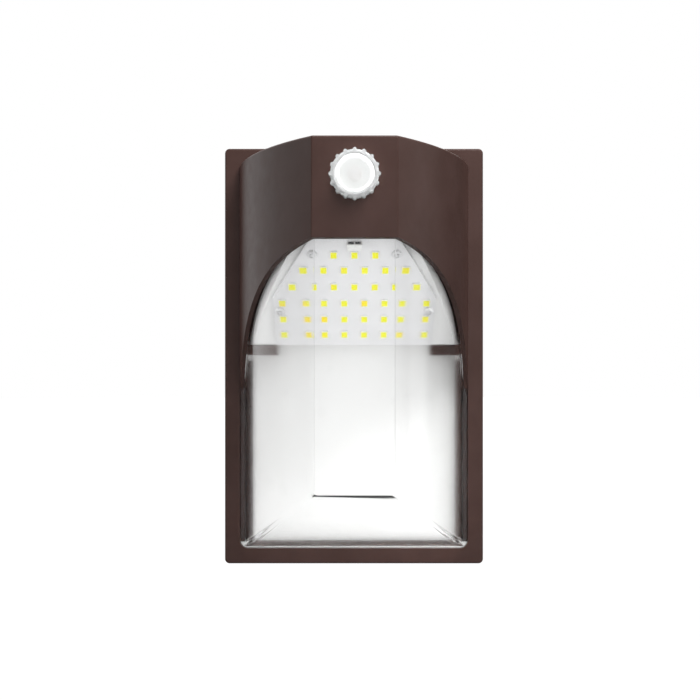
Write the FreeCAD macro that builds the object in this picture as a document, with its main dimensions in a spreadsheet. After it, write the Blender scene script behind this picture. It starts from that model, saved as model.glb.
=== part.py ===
import FreeCAD, Part
import math
import os
import Sketcher

# A small outdoor wall pack light. The wall is the plane y = 0, the light points along -Y, +Z is up, and the
# origin is the centre of the face that goes against the wall. All lengths are millimetres.

DRIVING_SIZES = [
    ("CoverWidth", 112.0, "front housing, left to right"),
    ("CoverHeight", 180.0, "front housing, top to bottom"),
    ("CoverCorner", 2.0, "corner radius of the flange"),
    ("CoverDepth", 16.0, "wall to the flange's front face"),
    ("FlangeThickness", 2.3, "flange plate"),
    ("EdgeFillet", 0.9, "rounding of the flange's and the hood's outer edges"),
    ("SkirtWall", 2.5, "skirt behind the flange"),
    ("SeatWall", 4.5, "thicker part of the skirt that presses the gasket"),
    ("SkirtGap", 2.0, "wall to the skirt's rear edge"),
    ("TopEdgeGap", 4.0, "wall to the rear edge of the skirt's top, which swings back"),
    ("HoodDepth", 73.0, "flange to the hood's front strip"),
    ("FlangeMargin", 6.5, "hood to the side edge of the flange"),
    ("StripWidth", 32.4, "flat front strip"),
    ("SideBulge", 5.3, "how far each side bows out from a straight line"),
    ("TopMargin", 7.0, "hood's flat top to the flange's top edge"),
    ("HoodWall", 1.8, "hood wall"),
    ("CutFront", 44.8, "height of the hood's lower edge at the strip"),
    ("CutBack", -14.0, "height of the hood's lower edge at the flange"),
    ("CutBulge", 10.2, "how far that edge bows up from a straight line"),
    ("LensGap", 0.25, "between lens and hood"),
    ("LensWall", 2.0, "lens"),
    ("LensTuck", 4.0, "how far the lens goes up inside the hood"),
    ("LensFront", -50.0, "height of the lens's lower edge at the front"),
    ("LensMargin", 7.5, "lens at the flange to the flange's lower edge"),
    ("LensBulge", 4.6, "how far the lens's underside bows out"),
    ("WindowGap", 0.9, "lens to the bottom of the flange's window"),
    ("WindowCorner", 3.5, "lower corners of the window"),
    ("RimThickness", 1.6, "lens rim behind the flange"),
    ("RimGap", 0.3, "lens rim to the skirt"),
    ("LensSeal", 0.6, "gasket between lens rim and flange"),
    ("SheetThickness", 1.2, "reflector sheet"),
    ("SheetGap", 0.5, "reflector to the inside of the lens"),
    ("ShelfHeight", 5.0, "underside of the reflector's shelf"),
    ("FlapRise", 3.0, "reflector's side flaps above the hood's lower edge"),
    ("SideShow", 5.5, "hood's side in to the reflector's floor, where the dark body shows"),
    ("SideShowFoot", 4.0, "lens rim's lower edge up to those side gaps"),
    ("SlopeTop", 67.0, "how far in front of the flange the reflector's slope ends"),
    ("BoardTilt", 45.0, "slope of the LED board, degrees"),
    ("BoardFoot", 4.7, "height of the LED board's lower edge"),
    ("BoardFootDepth", 20.2, "flange to the LED board's lower edge"),
    ("BoardLength", 58.0, "LED board along the slope"),
    ("BoardShare", 0.6465, "LED board's width as a share of the hood's at the flange"),
    ("BoardShoulder", 26.0, "length of the board's parallel part"),
    ("BoardTaper", 15.0, "what each side of the board loses towards its top"),
    ("BoardThickness", 1.6, "LED board"),
    ("PadThickness", 0.5, "thermal pad behind the board"),
    ("SpreaderThickness", 2.5, "heat spreader behind the sheet"),
    ("SpreaderFoot", 5.0, "board's lower edge to the heat spreader's"),
    ("ChipWidth", 2.8, "LED, left to right"),
    ("ChipHeight", 3.5, "LED along the slope"),
    ("ChipThickness", 0.7, "LED above the board"),
    ("ChipMargin", 2.25, "outermost LED to the side of the board"),
    ("TopRowDrop", 8.5, "top row of LEDs to the board's top edge"),
    ("TopRowPitch", 7.8, "top row to the next"),
    ("FirstRow", 6.5, "board's lower edge to the lowest row"),
    ("LeadDrop", 3.4, "board's top edge to its wires"),
    ("HighScrewDrop", 8.0, "board's top edge to its upper screws"),
    ("BoardScrewInset", 2.6, "board's side to its lower screws"),
    ("ConnectorWidth", 5.8, "board connector"),
    ("ConnectorHeight", 3.3, "board connector along the slope"),
    ("ConnectorThickness", 2.2, "board connector above the board"),
    ("LugHeight", 4.4, "side lugs that carry the shelf"),
    ("LugLength", 16.5, "lug, measured in from the hood's side"),
    ("LugDepth", 4.0, "lug in front of the flange"),
    ("LugGap", 0.2, "lug to the shelf"),
    ("PlateThickness", 2.0, "back plate"),
    ("PlateGap", 0.3, "back plate to the skirt"),
    ("WallSeal", 1.5, "gasket against the wall"),
    ("WallSealWidth", 4.6, "width of that gasket's band"),
    ("WallSealInset", 1.2, "gasket inside the plate's edge"),
    ("BodySeal", 1.5, "gasket between plate and housing"),
    ("BodySealWidth", 2.4, "width of that gasket's band"),
    ("WireHoleRadius", 11.0, "hole for the wires in the back plate"),
    ("GrommetBore", 5.0, "radius of the hole in the wire grommet"),
    ("GrommetLip", 2.0, "grommet's lips beyond the hole"),
    ("LipThickness", 1.0, "grommet's lips"),
    ("SwitchBoxPitch", 83.3, "upright screw spacing of a switch box"),
    ("RoundBoxPitch", 79.4, "level screw spacing, between the two octagon box sizes"),
    ("SlotLength", 14.4, "box screw slots, end to end"),
    ("SlotRadius", 2.4, "half the width of the slots"),
    ("HingeDrop", 3.5, "hinge axis below the top of the housing"),
    ("HingeOut", 6.0, "wall to the hinge axis"),
    ("KnuckleRadius", 3.0, "hinge knuckles"),
    ("KnuckleLength", 10.2, "plate knuckle"),
    ("SideKnuckle", 5.1, "housing knuckles"),
    ("KnuckleGap", 0.2, "between knuckles"),
    ("HingeSpan", 60.0, "left hinge to right hinge"),
    ("PinRadius", 1.25, "hinge pins"),
    ("PinGap", 0.05, "running gap round a pin"),
    ("CoverScrewRadius", 2.0, "screws that close the housing"),
    ("CoverScrewLength", 9.0, "those screws under the head"),
    ("CoverScrewOut", 7.2, "wall to those screws"),
    ("CoverHeadRadius", 3.5, "their heads"),
    ("CoverHeadHeight", 2.3, "their heads"),
    ("TabWidth", 9.0, "screw tabs of the back plate"),
    ("TabHeight", 4.0, "screw tabs"),
    ("TabRise", 7.8, "housing's lower edge to the middle of the screw tabs"),
    ("TabDepth", 6.6, "screw tabs in front of the plate"),
    ("SlotPlay", 0.3, "screws to the slots they pass through"),
    ("ThreadGap", 0.05, "screw to its threaded hole"),
    ("HolePlay", 0.25, "screw to its clearance hole"),
    ("SmallScrewRadius", 1.25, "screws inside the housing"),
    ("SmallScrewLength", 6.0, "those screws under the head"),
    ("SmallHeadRadius", 1.9, "their heads"),
    ("SmallHeadHeight", 1.4, "their heads"),
    ("EarDrop", 1.6, "lens rim's lower edge down to the reflector's lower screws"),
    ("EarInset", 7.2, "lens rim's side edge in to the reflector's lower screws"),
    ("EarWidth", 6.0, "reflector's lower ears"),
    ("LugScrewInset", 10.0, "hood's side in to the screws in the lugs"),
    ("CaseShare", 0.606, "driver case's width as a share of the hood's at the flange"),
    ("CaseHeight", 34.0, "driver case"),
    ("CaseDepth", 26.0, "driver case, without its lid"),
    ("CaseWall", 1.6, "driver case"),
    ("CaseDrop", 7.0, "hood's flat top down to the driver case"),
    ("CaseBack", 14.0, "wall to the driver case's open rear edge"),
    ("LidThickness", 1.6, "driver lid"),
    ("EarReach", 10.0, "driver case's ears"),
    ("EarThickness", 2.0, "driver case's ears"),
    ("PostGap", 6.0, "driver case to the middle of its posts"),
    ("PostRadius", 3.2, "those posts"),
    ("PostReach", 4.4, "ends of the posts beyond a straight line from the hood's rear edge to its strip"),
    ("CircuitThickness", 1.6, "driver circuit board"),
    ("CircuitGap", 0.3, "circuit board to the case walls"),
    ("CircuitLift", 3.0, "case's open edge to the circuit board"),
    ("CoreWidth", 18.0, "transformer core, both ways"),
    ("CoreDepth", 15.0, "transformer core off the board"),
    ("CoreLimb", 4.0, "limbs of the core above and below its window"),
    ("CoreYoke", 3.0, "yokes of the core before and behind its window"),
    ("CoilProud", 1.0, "coil beyond the window"),
    ("CoilWidth", 14.0, "coil, left to right"),
    ("BigCanRadius", 5.0, "input capacitor"),
    ("BigCanHeight", 17.0, "input capacitor"),
    ("SmallCanRadius", 4.0, "two other capacitors"),
    ("SmallCanHeight", 13.0, "two other capacitors"),
    ("ChokeRadius", 6.0, "ring inductor"),
    ("ChokeBore", 2.5, "hole in the ring inductor"),
    ("ChokeHeight", 9.0, "ring inductor"),
    ("DriverGap", 3.4, "those parts to the case walls"),
    ("LedLeadRise", 9.0, "case's underside to the holes for the board's wires"),
    ("CellLeadRise", 23.0, "case's underside to the holes for the photocell's wires"),
    ("CellLeadSpread", 2.5, "centre line to each of the photocell's wires"),
    ("TerminalPitch", 7.0, "terminal to terminal"),
    ("TerminalMargin", 4.5, "outer terminals to the ends of the block"),
    ("TerminalDepth", 11.0, "terminal block off the case's plane"),
    ("TerminalHeight", 10.0, "terminal block below the case"),
    ("TerminalLift", 1.0, "case's open edge to the block's rear"),
    ("TerminalDrop", 3.5, "top of the block to its screws"),
    ("WellRadius", 2.2, "holes over the terminal screws"),
    ("WellDepth", 5.0, "holes over the terminal screws"),
    ("MouthRadius", 1.8, "holes for the wires"),
    ("MouthDepth", 5.0, "holes for the wires"),
    ("TerminalScrewLength", 3.0, "terminal screws"),
    ("HolderFace", 1.6, "barrel's front edge back to its face"),
    ("HolderFloor", 1.4, "thickness of that face"),
    ("HolderFlangeThickness", 2.0, "holder's flange inside the hood"),
    ("CellDrop", 15.0, "hood's flat top down to the middle of the photocell"),
    ("CellHoleRadius", 7.4, "hole in the hood for the photocell"),
    ("BarrelRadius", 7.0, "threaded barrel of the photocell holder"),
    ("BarrelReach", 4.2, "barrel in front of the hood"),
    ("BarrelTail", 20.0, "barrel behind the hood"),
    ("BarrelWall", 1.4, "barrel wall"),
    ("HolderFlange", 10.5, "radius of the holder's flange inside the hood"),
    ("CapRadius", 9.8, "photocell cap"),
    ("CapDepth", 5.4, "photocell cap"),
    ("CapFront", 1.4, "front wall of the cap"),
    ("ScallopRadius", 1.35, "round bumps on the cap's rim"),
    ("ScallopCount", 16.0, "bumps on the cap's rim"),
    ("ScallopChamfer", 0.8, "cap's front face to the front of those bumps"),
    ("CapThreadGap", 0.1, "cap's thread to the barrel"),
    ("SealThickness", 1.0, "seal under the cap"),
    ("SealOuter", 9.0, "outer radius of that seal"),
    ("SealInner", 7.5, "inner radius of that seal"),
    ("SensorRadius", 2.6, "light cell"),
    ("SensorHeight", 1.2, "light cell"),
    ("LeadRadius", 0.6, "wires inside"),
    ("LeadSpread", 0.9, "centre line to each of the two board wires"),
    ("ConnectorHoleRadius", 1.8, "hole in the board for its wires"),
    ("SheetHoleRadius", 3.6, "hole in the reflector for those wires"),
    ("SeatGap", 0.02, "pieces that lie against each other"),
]

X_AXIS = FreeCAD.Vector(1, 0, 0)
Y_AXIS = FreeCAD.Vector(0, 1, 0)
Z_AXIS = FreeCAD.Vector(0, 0, 1)


class Size:
    """A length that knows both its number and the expression that gives it."""

    def __init__(self, text, number):
        self.text = text
        self.number = number

    def joined(self, other, sign, number):
        return Size(f"({self.text} {sign} {as_size(other).text})", number)

    def __add__(self, other):
        return self.joined(other, "+", self.number + as_size(other).number)

    def __sub__(self, other):
        return self.joined(other, "-", self.number - as_size(other).number)

    def __mul__(self, other):
        return self.joined(other, "*", self.number * as_size(other).number)

    def __truediv__(self, other):
        return self.joined(other, "/", self.number / as_size(other).number)

    def __radd__(self, other):
        return as_size(other) + self

    def __rsub__(self, other):
        return as_size(other) - self

    def __rmul__(self, other):
        return as_size(other) * self

    def __neg__(self):
        return Size(f"(0 - {self.text})", -self.number)


def as_size(amount):
    if isinstance(amount, Size):
        return amount
    return Size(repr(float(amount)), float(amount))


def number(amount):
    return as_size(amount).number


def root(amount):
    return Size(f"sqrt({amount.text})", math.sqrt(amount.number))


def sine(angle):
    return Size(f"sin({angle.text} * 1 deg)", math.sin(math.radians(angle.number)))


def cosine(angle):
    return Size(f"cos({angle.text} * 1 deg)", math.cos(math.radians(angle.number)))


# ---------------------------------------------------------------- document and helpers

doc = FreeCAD.newDocument("wall_pack_light")
sheet = doc.addObject("Spreadsheet::Sheet", "Sizes")
size = {}
for row, (alias, value, meaning) in enumerate(DRIVING_SIZES, start=1):
    sheet.set(f"A{row}", meaning)
    sheet.set(f"B{row}", str(value))
    sheet.setAlias(f"B{row}", alias)
    size[alias] = Size(f"Sizes.{alias}", value)
doc.recompute()


class Sizes:
    """The driving sizes by name, such as S.CoverWidth."""

    def __getattr__(self, alias):
        return size[alias]


S = Sizes()
sub_parts = []


def finished(thing, label):
    """Name a finished sub-part and note it for export."""
    thing.Label = label
    sub_parts.append(thing)
    return thing


def bind(thing, prop, amount):
    thing.setExpression(prop, as_size(amount).text)


def put(thing, x, y, z):
    """Bind where a thing stands."""
    bind(thing, "Placement.Base.x", x)
    bind(thing, "Placement.Base.y", y)
    bind(thing, "Placement.Base.z", z)


def box(name, low, high):
    """A box from its low corner to its high corner."""
    thing = doc.addObject("Part::Box", name)
    bind(thing, "Length", high[0] - low[0])
    bind(thing, "Width", high[1] - low[1])
    bind(thing, "Height", high[2] - low[2])
    put(thing, *low)
    return thing


def rod(name, start, axis, radius, length):
    """A cylinder from its start point along +X, +Y, -Y or +Z."""
    thing = doc.addObject("Part::Cylinder", name)
    turns = {"+X": (Y_AXIS, 90), "+Y": (X_AXIS, -90), "-Y": (X_AXIS, 90), "+Z": (Z_AXIS, 0)}
    thing.Placement.Rotation = FreeCAD.Rotation(*turns[axis])
    bind(thing, "Radius", radius)
    bind(thing, "Height", length)
    put(thing, *start)
    return thing


def fuse(name, pieces):
    thing = doc.addObject("Part::MultiFuse", name)
    thing.Shapes = pieces
    return thing


def cut(name, base, tool):
    thing = doc.addObject("Part::Cut", name)
    thing.Base = base
    thing.Tool = tool
    return thing


def common(name, first, second):
    thing = doc.addObject("Part::MultiCommon", name)
    thing.Shapes = [first, second]
    return thing


def group(name, pieces):
    """Separate solids kept together as one sub-part."""
    thing = doc.addObject("Part::Compound", name)
    thing.Links = pieces
    return thing


def drilled(name, base, tools):
    return cut(name, base, fuse(name + "_tools", tools) if len(tools) > 1 else tools[0])


def pan_screw(name, at, axis, radius, length, head_radius, head_height):
    """A screw along -Y or +Z: its head lies behind the point given and its shank runs on from it."""
    head_at = at
    if axis == "+Z":
        head_at = (at[0], at[1], at[2] - head_height)
    head = rod(name + "_head", head_at, "+Z" if axis == "+Z" else "+Y", head_radius, head_height)
    shank = rod(name + "_shank", at, axis, radius, length)
    return fuse(name, [head, shank])


def body(name):
    return doc.addObject("PartDesign::Body", name)


def sketch_on(host, role, offset, name):
    """A sketch on one of a body's own planes, moved along the plane's normal."""
    sketch = host.newObject("Sketcher::SketchObject", name)
    plane = [item for item in host.Origin.OriginFeatures if item.Role == role][0]
    sketch.AttachmentSupport = [(plane, "")]
    sketch.MapMode = "FlatFace"
    bind(sketch, "AttachmentOffset.Base.z", offset)
    return sketch


def loose_sketch(name, role):
    """A sketch outside any body, on the XY or the YZ plane."""
    sketch = doc.addObject("Sketcher::SketchObject", name)
    if role == "YZ_Plane":
        sketch.Placement.Rotation = FreeCAD.Rotation(FreeCAD.Vector(1, 1, 1), 120)
    return sketch


def draw(sketch, corners):
    """Draw a closed outline. Each corner is (x, y) or (x, y, radius), where a radius makes the edge to the
    next corner an arc: positive bows to the right of the way of travel, negative to the left."""
    first = sketch.GeometryCount
    count = len(corners)
    ends = []
    for index, corner in enumerate(corners):
        following = corners[(index + 1) % count]
        start = FreeCAD.Vector(number(corner[0]), number(corner[1]), 0)
        end = FreeCAD.Vector(number(following[0]), number(following[1]), 0)
        if len(corner) == 2:
            sketch.addGeometry(Part.LineSegment(start, end), False)
            ends.append((1, 2))
            continue
        radius = number(corner[2])
        chord = end - start
        right = FreeCAD.Vector(chord.y, -chord.x, 0).normalize()
        rise = abs(radius) - math.sqrt(max(radius * radius - (chord.Length / 2) ** 2, 0.0))
        middle = (start + end) * 0.5 + right * math.copysign(rise, radius)
        sketch.addGeometry(Part.Arc(start, middle, end), False)
        ends.append((1, 2) if radius > 0 else (2, 1))
    joints = []
    for index in range(count):
        after = (index + 1) % count
        here = (first + index, ends[index][1])
        there = (first + after, ends[after][0])
        joints.append(Sketcher.Constraint("Coincident", *here, *there))
    sketch.addConstraint(joints)
    for index, corner in enumerate(corners):
        place = (first + index, ends[index][0])
        fix(sketch, Sketcher.Constraint("DistanceX", -1, 1, *place, number(corner[0])), corner[0])
        fix(sketch, Sketcher.Constraint("DistanceY", -1, 1, *place, number(corner[1])), corner[1])
        if len(corner) == 3:
            fix_arc(sketch, first + index, corner, corners[(index + 1) % count])


def fix_arc(sketch, arc, corner, following):
    """Fix an arc between two set ends: by its radius, or a half circle by its centre."""
    across = number(following[0]) - number(corner[0])
    up = number(following[1]) - number(corner[1])
    radius = corner[2] if number(corner[2]) > 0 else -as_size(corner[2])
    if math.hypot(across, up) < 1.999 * number(radius):
        fix(sketch, Sketcher.Constraint("Radius", arc, number(radius)), radius)
    elif abs(up) < abs(across):
        fix(sketch, Sketcher.Constraint("DistanceY", -1, 1, arc, 3, number(corner[1])), corner[1])
    else:
        fix(sketch, Sketcher.Constraint("DistanceX", -1, 1, arc, 3, number(corner[0])), corner[0])


def fix(sketch, constraint, amount):
    """Add a constraint and bind it to its size."""
    index = sketch.addConstraint(constraint)
    sketch.setExpression(f"Constraints[{index}]", as_size(amount).text)


def ring(sketch, x, y, radius):
    """A circle in a sketch."""
    centre = FreeCAD.Vector(number(x), number(y), 0)
    index = sketch.addGeometry(Part.Circle(centre, Z_AXIS, number(radius)), False)
    fix(sketch, Sketcher.Constraint("DistanceX", -1, 1, index, 3, number(x)), x)
    fix(sketch, Sketcher.Constraint("DistanceY", -1, 1, index, 3, number(y)), y)
    fix(sketch, Sketcher.Constraint("Radius", index, number(radius)), radius)


def rectangle(left, low, right, high):
    return [(left, low), (right, low), (right, high), (left, high)]


def round_rectangle(left, low, right, high, radius):
    """Corners of a rectangle whose four corners are arcs."""
    return [
        (left + radius, low), (right - radius, low, radius),
        (right, low + radius), (right, high - radius, radius),
        (right - radius, high), (left + radius, high, radius),
        (left, high - radius), (left, low + radius, radius),
    ]


def slot(x, y, half_length, radius, upright):
    """Corners of a slot with round ends."""
    reach = half_length - radius
    if upright:
        return [(x + radius, y - reach), (x + radius, y + reach, radius),
                (x - radius, y + reach), (x - radius, y - reach, radius)]
    return [(x - reach, y - radius), (x + reach, y - radius, radius),
            (x + reach, y + radius), (x - reach, y + radius, radius)]


def pad(host, sketch, length, name, reverse=False, both_ways=False):
    return extrude(host, sketch, length, name, "PartDesign::Pad", reverse, both_ways)


def pocket(host, sketch, length, name, reverse=False, both_ways=False):
    """A pocket, checked to have taken something away."""
    before = host.Tip.Shape.Volume
    feature = extrude(host, sketch, length, name, "PartDesign::Pocket", reverse, both_ways)
    if not feature.Shape.Volume < before - 1e-6:
        raise RuntimeError(f"{name} cuts nothing")
    return feature


def extrude(host, sketch, length, name, kind, reverse, both_ways):
    feature = host.newObject(kind, name)
    feature.Profile = sketch
    bind(feature, "Length", length)
    feature.Reversed = reverse
    if both_ways:
        feature.SideType = "Symmetric"
    doc.recompute()
    return feature


def dress(host, kind, name, picked, amount):
    """A fillet or chamfer on the edges that a test picks."""
    base = host.Tip
    edges = [f"Edge{index}" for index, edge in enumerate(base.Shape.Edges, start=1) if picked(edge)]
    feature = host.newObject(kind, name)
    feature.Base = (base, edges)
    bind(feature, "Radius" if kind.endswith("Fillet") else "Size", amount)
    doc.recompute()
    return feature


def hollow(host, name, opened, wall):
    """Leave a wall inside the faces that a test doesn't pick."""
    base = host.Tip
    faces = [f"Face{index}" for index, face in enumerate(base.Shape.Faces, start=1) if opened(face)]
    feature = host.newObject("PartDesign::Thickness", name)
    feature.Base = (base, faces)
    feature.Reversed = True
    feature.Join = 1
    bind(feature, "Value", wall)
    doc.recompute()
    return feature


def solid_from(name, sketch, along, length, both_ways=False):
    """A solid made by moving a loose sketch's outline."""
    thing = doc.addObject("Part::Extrusion", name)
    thing.Base = sketch
    thing.DirMode = "Custom"
    thing.Dir = along
    thing.Solid = True
    thing.Symmetric = both_ways
    bind(thing, "LengthFwd", length)
    return thing


# ---------------------------------------------------------------- shared shapes and places

SIDES = (-1, 1)
HALF_WIDTH = S.CoverWidth / 2
HALF_HEIGHT = S.CoverHeight / 2
HOOD_HALF = HALF_WIDTH - S.FlangeMargin
HOOD_TOP = HALF_HEIGHT - S.TopMargin
LENS_BACK = S.LensMargin - HALF_HEIGHT
FLANGE_Y = -S.CoverDepth
FLANGE_REAR_Y = FLANGE_Y + S.FlangeThickness
PLATE_REAR_Y = -S.WallSeal
PLATE_FRONT_Y = PLATE_REAR_Y - S.PlateThickness
SEAT_Y = PLATE_FRONT_Y - S.BodySeal
RIM_FRONT_Y = FLANGE_REAR_Y + S.LensSeal
RIM_REAR_Y = RIM_FRONT_Y + S.RimThickness
SHEET_REAR_Y = RIM_REAR_Y + S.SheetThickness
STRIP_Y = FLANGE_Y - S.HoodDepth
PLATE_HALF = HALF_WIDTH - S.SkirtWall - S.PlateGap
PLATE_LOW = S.SkirtWall + S.PlateGap - HALF_HEIGHT
PLATE_HIGH = HOOD_TOP - S.SeatGap
SEAT_HALF = HALF_WIDTH - S.SeatWall
SEAT_LOW = S.SeatWall - HALF_HEIGHT
RIM_HALF = SEAT_HALF - S.RimGap
RIM_LOW = SEAT_LOW + S.RimGap
WINDOW_LOW = LENS_BACK - S.WindowGap
LENS_INSET = S.HoodWall + S.LensGap
LUG_TOP = S.ShelfHeight - S.LugGap
LUG_MIDDLE = LUG_TOP - S.LugHeight / 2
HINGE_Y = -S.HingeOut
HINGE_Z = HALF_HEIGHT - S.HingeDrop
EAR_BOX_Z = HINGE_Z - S.KnuckleRadius
TAB_Z = S.TabRise - HALF_HEIGHT
EAR_X = RIM_HALF - S.EarInset
EAR_Z = RIM_LOW - S.EarDrop
LUG_INNER = HOOD_HALF - S.LugLength
LUG_SCREW_X = HOOD_HALF - S.LugScrewInset
BOARD_HALF = HOOD_HALF * S.BoardShare
BOARD_TOP_HALF = BOARD_HALF - S.BoardTaper
CASE_HALF = HOOD_HALF * S.CaseShare
CASE_FRONT_Y = -S.CaseBack - S.CaseDepth
CASE_TOP = HOOD_TOP - S.CaseDrop
CASE_FLOOR = CASE_TOP - S.CaseHeight
CASE_MIDDLE = CASE_TOP - S.CaseHeight / 2
POST_X = CASE_HALF + S.PostGap
POST_END = S.HoodDepth * (HOOD_HALF - POST_X) / (HOOD_HALF - S.StripWidth / 2) + S.PostReach
CELL_Z = HOOD_TOP - S.CellDrop


def bow_radius(run, rise, bulge):
    """Radius of an arc over a chord with the run and rise given that bows out by the bulge."""
    return (run * run + rise * rise) / (8 * bulge) + bulge / 2


def plan_outline(inset, back_y=None):
    """The hood's horizontal section, moved in from its outer face, and carried straight back towards the
    wall as far as back_y. The sides bow out, so the inner arc shares its centre with the outer one."""
    half = HOOD_HALF
    strip = S.StripWidth / 2
    run = half - strip
    radius = bow_radius(run, S.HoodDepth, S.SideBulge)
    chord = root(run * run + S.HoodDepth * S.HoodDepth)
    drop = radius - S.SideBulge
    centre_x = (half + strip) / 2 - drop * S.HoodDepth / chord
    centre_y = FLANGE_Y - S.HoodDepth / 2 + drop * run / chord
    inner = radius - inset
    front_y = STRIP_Y + inset
    reach_back = root(inner * inner - (FLANGE_Y - centre_y) * (FLANGE_Y - centre_y))
    reach_front = root(inner * inner - (front_y - centre_y) * (front_y - centre_y))
    wide = centre_x + reach_back
    narrow = centre_x + reach_front
    bowed = [(-wide, FLANGE_Y, inner), (-narrow, front_y), (narrow, front_y, inner), (wide, FLANGE_Y)]
    if back_y is None:
        return bowed
    return [(-wide, back_y)] + bowed + [(wide, back_y)]


def turned_edges(shape_edge, low, high):
    """True for an edge that stands between two heights."""
    bounds = shape_edge.BoundBox
    return bounds.XLength < 0.01 and bounds.YLength < 0.01 and bounds.ZMin > low and bounds.ZMax < high


# ---------------------------------------------------------------- back plate and what it carries


def make_wall_gasket():
    host = body("wall_gasket_body")
    band = sketch_on(host, "XZ_Plane", 0, "wall_gasket_band")
    half = PLATE_HALF - S.WallSealInset
    low = PLATE_LOW + S.WallSealInset
    high = PLATE_HIGH - S.WallSealInset
    width = S.WallSealWidth
    draw(band, rectangle(-half, low, half, high))
    draw(band, rectangle(-half + width, low + width, half - width, high - width))
    pad(host, band, S.WallSeal, "wall_gasket_pad")
    return finished(host, "wall_gasket")


def make_back_plate():
    host = body("back_plate_body")
    outline = sketch_on(host, "XZ_Plane", S.WallSeal, "plate_outline")
    draw(outline, rectangle(-PLATE_HALF, PLATE_LOW, PLATE_HALF, PLATE_HIGH))
    ring(outline, 0, 0, S.WireHoleRadius)
    half_slot = S.SlotLength / 2
    for side in SIDES:
        draw(outline, slot(as_size(0), side * S.SwitchBoxPitch / 2, half_slot, S.SlotRadius, True))
        draw(outline, slot(side * S.RoundBoxPitch / 2, as_size(0), half_slot, S.SlotRadius, False))
    pad(host, outline, S.PlateThickness, "plate_pad")

    for side in SIDES:
        x = side * S.HingeSpan / 2
        ear = sketch_on(host, "YZ_Plane", x, "hinge_ear")
        draw(ear, [(PLATE_REAR_Y, PLATE_HIGH - 1), (PLATE_REAR_Y, HINGE_Z),
                   (HINGE_Y + S.KnuckleRadius, HINGE_Z, S.KnuckleRadius),
                   (HINGE_Y - S.KnuckleRadius, HINGE_Z, S.KnuckleRadius), (HINGE_Y, EAR_BOX_Z),
                   (PLATE_FRONT_Y, EAR_BOX_Z), (PLATE_FRONT_Y, PLATE_HIGH - 1)])
        pad(host, ear, S.KnuckleLength, "hinge_ear_pad", both_ways=True)
        bore = sketch_on(host, "YZ_Plane", x, "hinge_bore")
        ring(bore, HINGE_Y, HINGE_Z, S.PinRadius + S.PinGap)
        pocket(host, bore, S.KnuckleLength * 2, "hinge_bore_cut", both_ways=True)

        tab = sketch_on(host, "XZ_Plane", -PLATE_FRONT_Y, "screw_tab")
        draw(tab, rectangle(x - S.TabWidth / 2, TAB_Z - S.TabHeight / 2,
                            x + S.TabWidth / 2, TAB_Z + S.TabHeight / 2))
        pad(host, tab, S.TabDepth, "screw_tab_pad")
        thread = sketch_on(host, "XY_Plane", TAB_Z, "screw_tab_thread")
        ring(thread, x, -S.CoverScrewOut, S.CoverScrewRadius + S.ThreadGap)
        pocket(host, thread, S.TabHeight * 2, "screw_tab_hole", both_ways=True)

    ground = sketch_on(host, "XZ_Plane", S.WallSeal, "ground_hole")
    ring(ground, GROUND_X, GROUND_Z, S.CoverScrewRadius + S.ThreadGap)
    pocket(host, ground, S.PlateThickness * 2, "ground_hole_cut", both_ways=True)
    return finished(host, "back_plate")


GROUND_X = -S.RoundBoxPitch / 4 - S.WireHoleRadius / 2
GROUND_Z = -S.SwitchBoxPitch / 4 - S.WireHoleRadius / 2


def make_wire_grommet():
    host = body("wire_grommet_body")
    section = sketch_on(host, "YZ_Plane", 0, "grommet_section")
    hole = S.WireHoleRadius - S.SeatGap
    lip = S.WireHoleRadius + S.GrommetLip
    rear = PLATE_REAR_Y + S.SeatGap
    front = PLATE_FRONT_Y - S.SeatGap
    back_lip = rear + S.LipThickness
    front_lip = front - S.LipThickness
    draw(section, [(back_lip, S.GrommetBore), (back_lip, lip), (rear, lip), (rear, hole),
                   (front, hole), (front, lip), (front_lip, lip), (front_lip, S.GrommetBore)])
    turned = host.newObject("PartDesign::Revolution", "grommet_turned")
    turned.Profile = section
    turned.ReferenceAxis = (section, ["H_Axis"])
    turned.Angle = 360
    doc.recompute()
    return finished(host, "wire_grommet")


def make_body_gasket():
    host = body("body_gasket_body")
    band = sketch_on(host, "XZ_Plane", -PLATE_FRONT_Y, "body_gasket_band")
    width = S.BodySealWidth
    high = PLATE_HIGH - S.SeatGap
    draw(band, rectangle(-PLATE_HALF, PLATE_LOW, PLATE_HALF, high))
    draw(band, rectangle(-PLATE_HALF + width, PLATE_LOW + width, PLATE_HALF - width, high - width))
    pad(host, band, S.BodySeal - S.SeatGap, "body_gasket_pad")
    return finished(host, "body_gasket")


def make_hinge_pins():
    reach = S.KnuckleLength + 2 * S.KnuckleGap + 2 * S.SideKnuckle
    pins = []
    for side in SIDES:
        start = (side * S.HingeSpan / 2 - reach / 2, HINGE_Y, HINGE_Z)
        pins.append(rod("hinge_pin", start, "+X", S.PinRadius, reach))
    return finished(group("hinge_pin_pair", pins), "hinge_pins")


def make_cover_screws():
    screws = []
    for side in SIDES:
        at = (side * S.HingeSpan / 2, -S.CoverScrewOut, -HALF_HEIGHT + S.CoverHeadHeight)
        sizes = (S.CoverScrewRadius, S.CoverScrewLength, S.CoverHeadRadius, S.CoverHeadHeight)
        screws.append(pan_screw("cover_screw", at, "+Z", *sizes))
    return finished(group("cover_screw_pair", screws), "cover_screws")


def make_ground_screw():
    place = (GROUND_X, PLATE_FRONT_Y, GROUND_Z)
    head = rod("ground_head", place, "-Y", S.CoverHeadRadius, S.CoverHeadHeight)
    into_plate = S.PlateThickness + S.WallSeal / 2
    shank = rod("ground_shank", (GROUND_X, PLATE_FRONT_Y + into_plate, GROUND_Z), "-Y", S.CoverScrewRadius,
                into_plate + S.CoverHeadHeight / 2)
    return finished(fuse("ground_screw_whole", [head, shank]), "ground_screw")


# ---------------------------------------------------------------- front housing, lens and seals


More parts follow.
